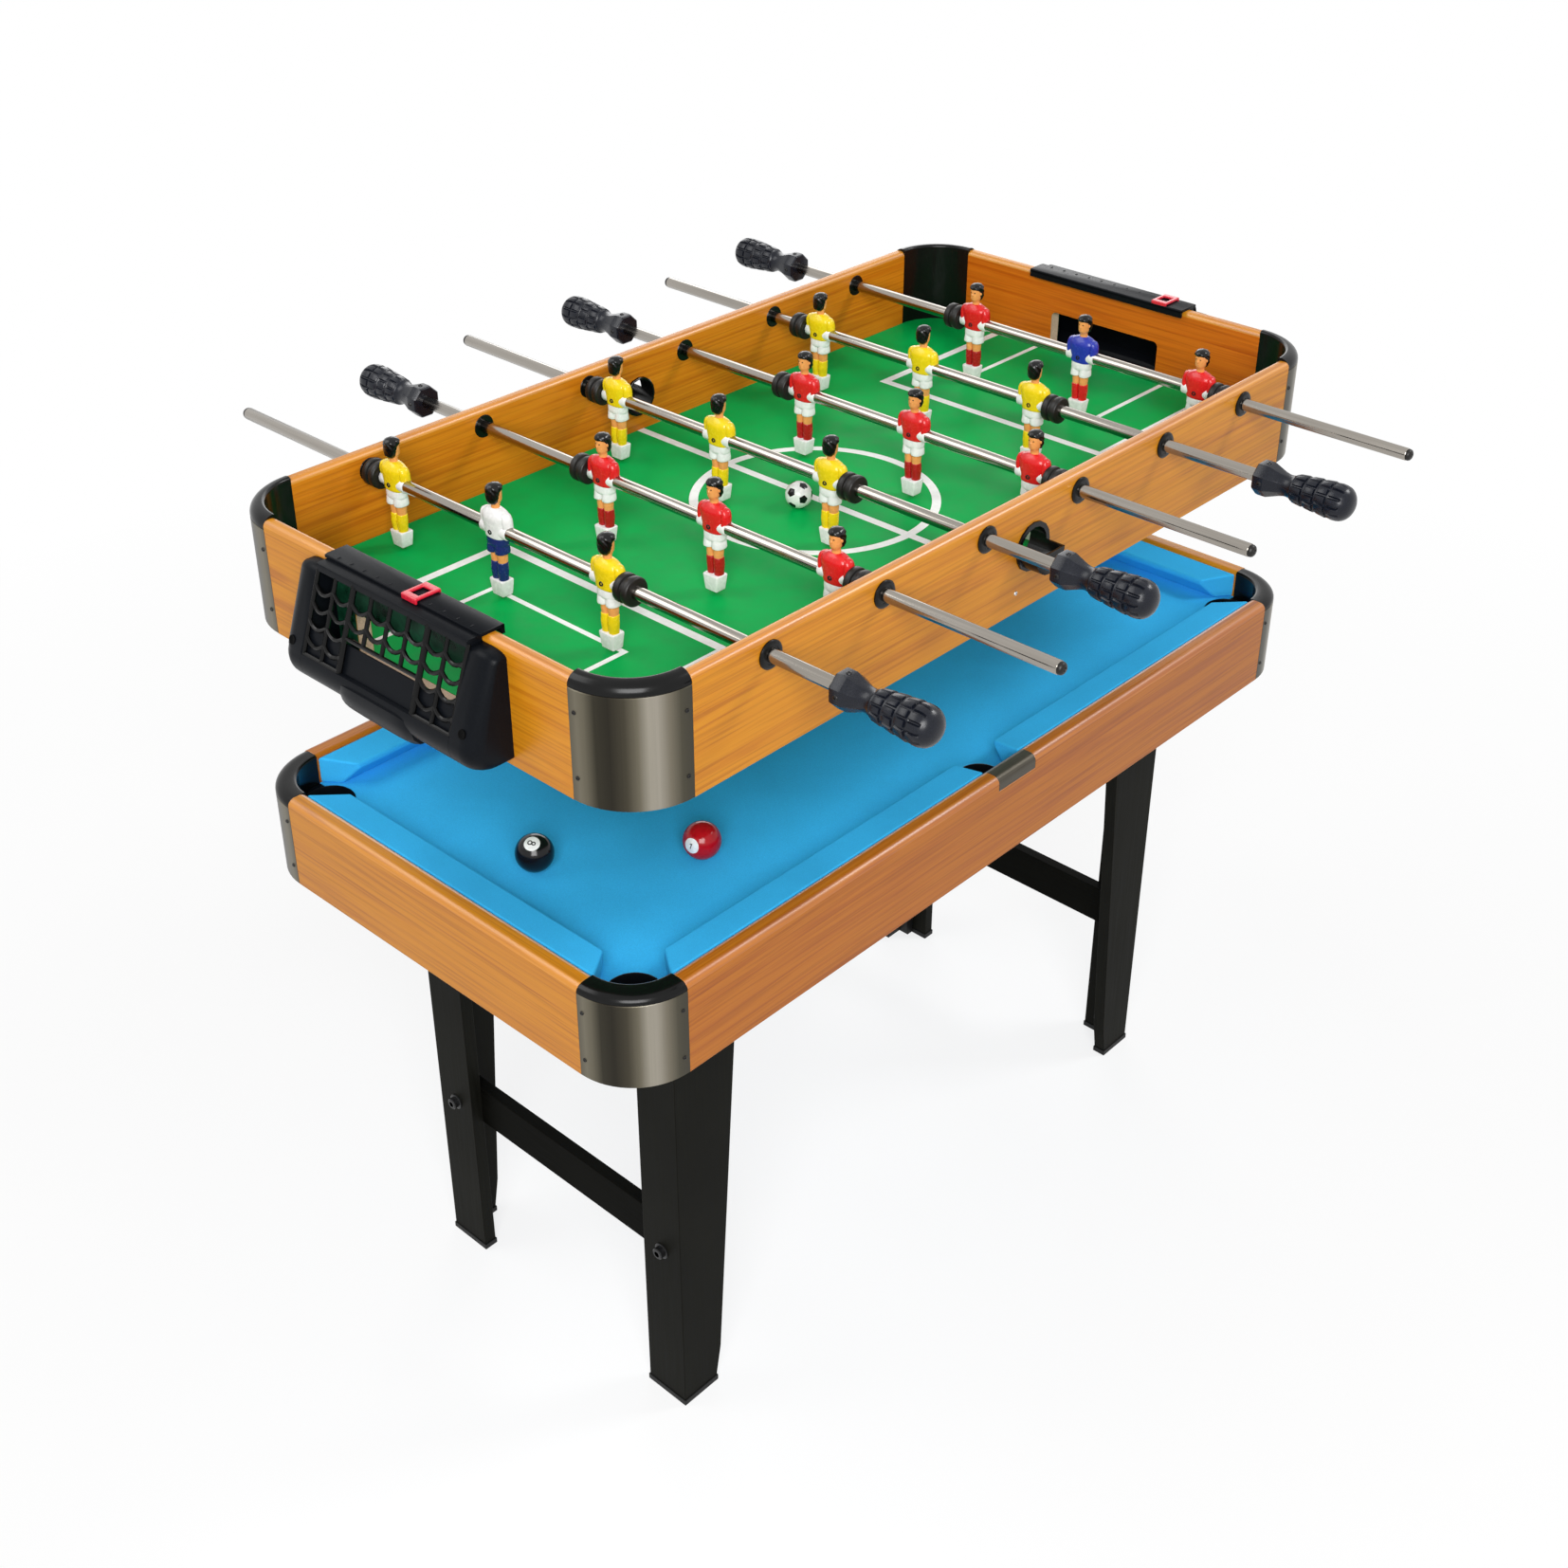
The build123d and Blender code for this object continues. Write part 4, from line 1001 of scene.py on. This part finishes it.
def limb(bm, rows, place, material, mirror=1, parts=3, count=24, power=2.3, waves=0):
    """A moulded form through rows of (x, y, height, half depth, half width), wavy or plain."""
    rings = []
    for x, y, height, deep, wide in smooth_rows(rows, parts):
        ring = []
        for turn in full_turn(count):
            swell = 1 + hair_wave_depth * sin(waves * turn + height) if waves else 1
            c, s = swell * cos(turn), swell * sin(turn)
            ring.append(place @ Vector((x + deep * copysign(abs(c) ** (2 / power), c),
                                        mirror * (y + wide * copysign(abs(s) ** (2 / power), s)),
                                        height)))
        rings.append(ring)
    return skin(bm, rings, material)


def dot(bm, centre, radii, place, material):
    """A small rounded bead."""
    rows = [(centre[0], centre[1], centre[2] + radii[2] * cos(a), radii[0] * sin(a),
             radii[1] * sin(a)) for a in (3.0, 2.5, 2.0, pi / 2, 1.1, 0.6, 0.14)]
    limb(bm, rows, place, material, parts=1, count=12, power=2)


def figure(bm, place, kit):
    """One moulded player, facing +X in its own place."""
    shirt, shorts, socks = kit
    limb(bm, torso_rows, place, shirt, count=40, power=2.5)
    limb(bm, head_rows, place, SKIN, power=2.1)
    limb(bm, hair_rows, place, HAIR, count=48, power=2.1, waves=hair_waves)
    dot(bm, (7, 0, 33.6), (1.3, 1.1, 1.9), place, SKIN)
    dot(bm, (6.5, 0, 30.2), (0.7, 1.7, 0.5), place, LIPS)
    limb(bm, hip_rows, place, shorts, power=2.6)
    for side in (-1, 1):
        dot(bm, (6.5, side * 2.3, 36.2), (0.7, 0.9, 0.7), place, HAIR)
        dot(bm, (-0.2, side * 6.4, 34.8), (1.5, 0.8, 2.1), place, SKIN)
        limb(bm, arm_rows, place, shirt, side, count=16, power=2)
        limb(bm, shorts_rows, place, shorts, side)
        limb(bm, thigh_rows, place, SKIN, side)
        limb(bm, sock_rows, place, socks, side)
        lathe(bm, ((6, hub_radius), (hub_half - 1.2, hub_radius), (hub_half - 0.3, hub_radius - 0.4),
                   (hub_half, hub_radius - 0.7), (hub_half, bore)),
              place @ aim((0, 0, 0), (0, side, 0)), 28, WHITE)
        lathe(bm, ((5, 2.5), (9.2, 2.4), (9.6, 2.1), (9.5, 1.4), (8.4, 1.2)),
              place @ aim((0, 0, -1), (side, 0, 0)), 16, SCREW)
    limb(bm, boot_rows, place, WHITE, parts=1, count=32, power=12)


YELLOW_KIT = (yellow_paint, white_paint, yellow_paint)
RED_KIT = (red_paint, white_paint, dark_red_paint)
KEEPER_KITS = {1: (white_paint, navy_paint, navy_paint), 6: (blue_paint, white_paint, red_paint)}

for number in rod_numbers:
    low, high = box(f"rod_{number}_players")
    axis = axis_of(f"rod_{number}")
    turned = Matrix.Rotation(0 if number % 2 else pi, 4, "Z")
    team = YELLOW_KIT if number % 2 else RED_KIT
    keeper = KEEPER_KITS.get(number, team)
    palette = [skin_paint, hair_paint, *team, white_paint, black_steel, lip_paint, *keeper]
    bm = bmesh.new()
    for step in (-1, 0, 1):
        y = (low.y + high.y) / 2 + step * player_pitch
        kit = (SHIRT, SHORTS, SOCKS) if step else range(len(palette) - 3, len(palette))
        figure(bm, Matrix.Translation((axis.x, y, axis.z)) @ turned, kit)
    finish_piece(f"rod_{number}_figures", bm, f"rod_{number}", palette,
                 [f"rod_{number}_players"], 50)

# Loose balls

pool_ball = 19
field_ball = 14
ball_rings = 24
ball_sides = 40
spot_turn = radians(24)


def ball_point(radius, across, up):
    """A point on a ball beside the pole that its spot faces, measured across and up."""
    return Vector((-across, sqrt(radius ** 2 - across ** 2 - up ** 2), up))


def marked_ball(name, centre, radius, facing, colour, digit, body):
    """A ball with a number in a round white spot on one side."""
    bm = bmesh.new()
    turns = [pi * (i + 0.02) / ball_rings for i in range(ball_rings)] + [spot_turn, pi * 0.999]
    place = aim(centre, facing)
    profile = [(radius * cos(a), radius * sin(a)) for a in sorted(turns)]
    for face in lathe(bm, profile, place, ball_sides):
        level = (place.inverted() @ face.calc_center_median()).y / radius
        if level > cos(spot_turn):
            face.material_index = 1
    for stroke in digit:
        tube(bm, [place @ ball_point(radius, *point) for point in stroke], digit_stroke, 6, 2)
    finish_piece(name, bm, body, [colour, white_paint, ball_black], angle=60)


def patched_ball(name, centre, radius, body):
    """A ball of dark five-sided and pale six-sided patches."""
    bm = bmesh.new()
    bmesh.ops.create_icosphere(bm, subdivisions=1, radius=radius)
    bmesh.ops.bevel(bm, geom=list(bm.verts), offset=100 / 3, offset_type="PERCENT", segments=1,
                    affect="VERTICES")
    for face in bm.faces:
        face.material_index = 1 if len(face.verts) == 5 else 0
    bmesh.ops.poke(bm, faces=bm.faces)
    bmesh.ops.subdivide_edges(bm, edges=bm.edges, cuts=5, use_grid_fill=True)
    turn = Matrix.Rotation(0.5, 3, "X") @ Matrix.Rotation(0.4, 3, "Z")
    for vert in bm.verts:
        vert.co = Vector(centre) + turn @ vert.co.normalized() * radius
    finish_piece(name, bm, body, [white_paint, ball_black], angle=60)


digit_stroke = 0.6
EIGHT = (arc((0, 1.8), 1.6, -90, 270, 12), arc((0, -1.9), 2, 90, 450, 12))
ONE = (((-1.6, 1.4), (0, 2.8), (0, -2.8)),)
marked_ball("pool_ball_black", (-417, -20, bed_high.z + pool_ball), pool_ball, (-0.35, -0.27, 0.89),
            ball_black, EIGHT, "table")
marked_ball("pool_ball_red", (-294, -122, bed_high.z + pool_ball), pool_ball, (-0.96, -0.18, 0.2),
            ball_red, ONE, "table")
patched_ball("field_ball", (-27, -2, field_high.z + field_ball), field_ball, "tray")

# Wall screw, floor, light and camera

wall_screw_x = -22
wall_screw_up = 22
wall_screw_radius = 2.4
wall_screw = bmesh.new()
screw(wall_screw, (wall_screw_x, -wall_face, tray_low.z + wall_screw_up), (0, -1, 0), wall_screw_radius)
finish_piece("front_wall_screw", wall_screw, "tray", [bright_steel])

floor_half = 12000
floor_data = bmesh.new()
slab(floor_data, (-floor_half, -floor_half, -20), (floor_half, floor_half, -0.4))
floor_pale = surface("floor_pale", (0.9, 0.9, 0.9), 0.9, 3, 0.01, 0.01, gloss=0)
floor = solid("floor", floor_data, [floor_pale])


def lamp(name, place, target, width, height, power, roll=0):
    """A soft light aimed at a point and turned about its own axis, in metres, watts and degrees."""
    data = bpy.data.lights.new(name, "AREA")
    data.shape = "RECTANGLE"
    data.size = width
    data.size_y = height
    data.energy = power
    light = linked(name, data)
    light.location = place
    facing = (Vector(target) - Vector(place)).to_track_quat("-Z", "Y")
    light.rotation_euler = (facing @ Quaternion((0, 0, 1), radians(roll))).to_euler()


lamp("key", (-2.57, -2.38, 2.64), (0, 0, 0.7), 2, 2, 160)
lamp("side", (2.1, -1.6, 3.1), (0, 0, 0.8), 0.85, 0.85, 42)
lamp("rim", (-1.7, 1.75, 3.3), (0, 0, 0.8), 2.4, 1.6, 40, -36)
lamp("back_fill", (2.6, 2.4, 1.9), (0, 0, 0.7), 2.4, 2.4, 35)

white_share = 0.76
dim_share = 0.5
near_floor = 0.8
far_floor = 2.2


def seen_directly(tree):
    """1 for rays that show the background: from the camera, or off metal and through glass."""
    rays = add_node(tree, "LightPath").outputs
    off_surfaces = maths(tree, "MAXIMUM", rays["Is Glossy Ray"], rays["Is Transmission Ray"])
    return maths(tree, "MAXIMUM", rays["Is Camera Ray"], off_surfaces)


def floor_distance(tree):
    """How far a point of the floor is from the middle of the table, in metres."""
    place = add_node(tree, "TexCoord").outputs["Object"]
    size = add_node(tree, "VectorMath", Vector=place)
    size.operation = "LENGTH"
    return size.outputs["Value"]


floor_tree = floor_pale.node_tree
seen = seen_directly(floor_tree)
whiteness = scaled(floor_tree, floor_distance(floor_tree), white_share, 1, near_floor, far_floor)
share = scaled(floor_tree, seen, dim_share, whiteness, 0, 1)
glow = add_node(floor_tree, "Emission", Strength=seen).outputs["Emission"]
mixer = add_node(floor_tree, "MixShader")
for socket, value in zip(mixer.inputs, (share, floor_tree.nodes["Principled BSDF"].outputs["BSDF"], glow)):
    plug(floor_tree, socket, value)
plug(floor_tree, floor_tree.nodes["Material Output"].inputs["Surface"], mixer.outputs["Shader"])

world = bpy.data.worlds.new("studio")
scene.world = world
world.use_nodes = True
sky_level = 0.2
sky_tree = world.node_tree
wired(sky_tree, sky_tree.nodes["Background"], Color=(1, 1, 1, 1),
      Strength=scaled(sky_tree, seen_directly(sky_tree), sky_level, 1, 0, 1))

photo_side = 1654
focal_pixels = 2148.1
principal_y = 734.1
camera_place = (-1417.8, -1271.7, 1762.6)
azimuth = -47.15
elevation = 30.86
camera_data = bpy.data.cameras.new("camera")
camera_data.sensor_width = 36
camera_data.lens = camera_data.sensor_width * focal_pixels / photo_side
camera_data.shift_y = (principal_y - photo_side / 2) / photo_side
camera_data.clip_end = 100
camera = linked("camera", camera_data)
camera.location = Vector(camera_place) * MM
camera.rotation_euler = (radians(90 - elevation), 0, radians(azimuth))
scene.camera = camera
scene.view_settings.view_transform = "Standard"
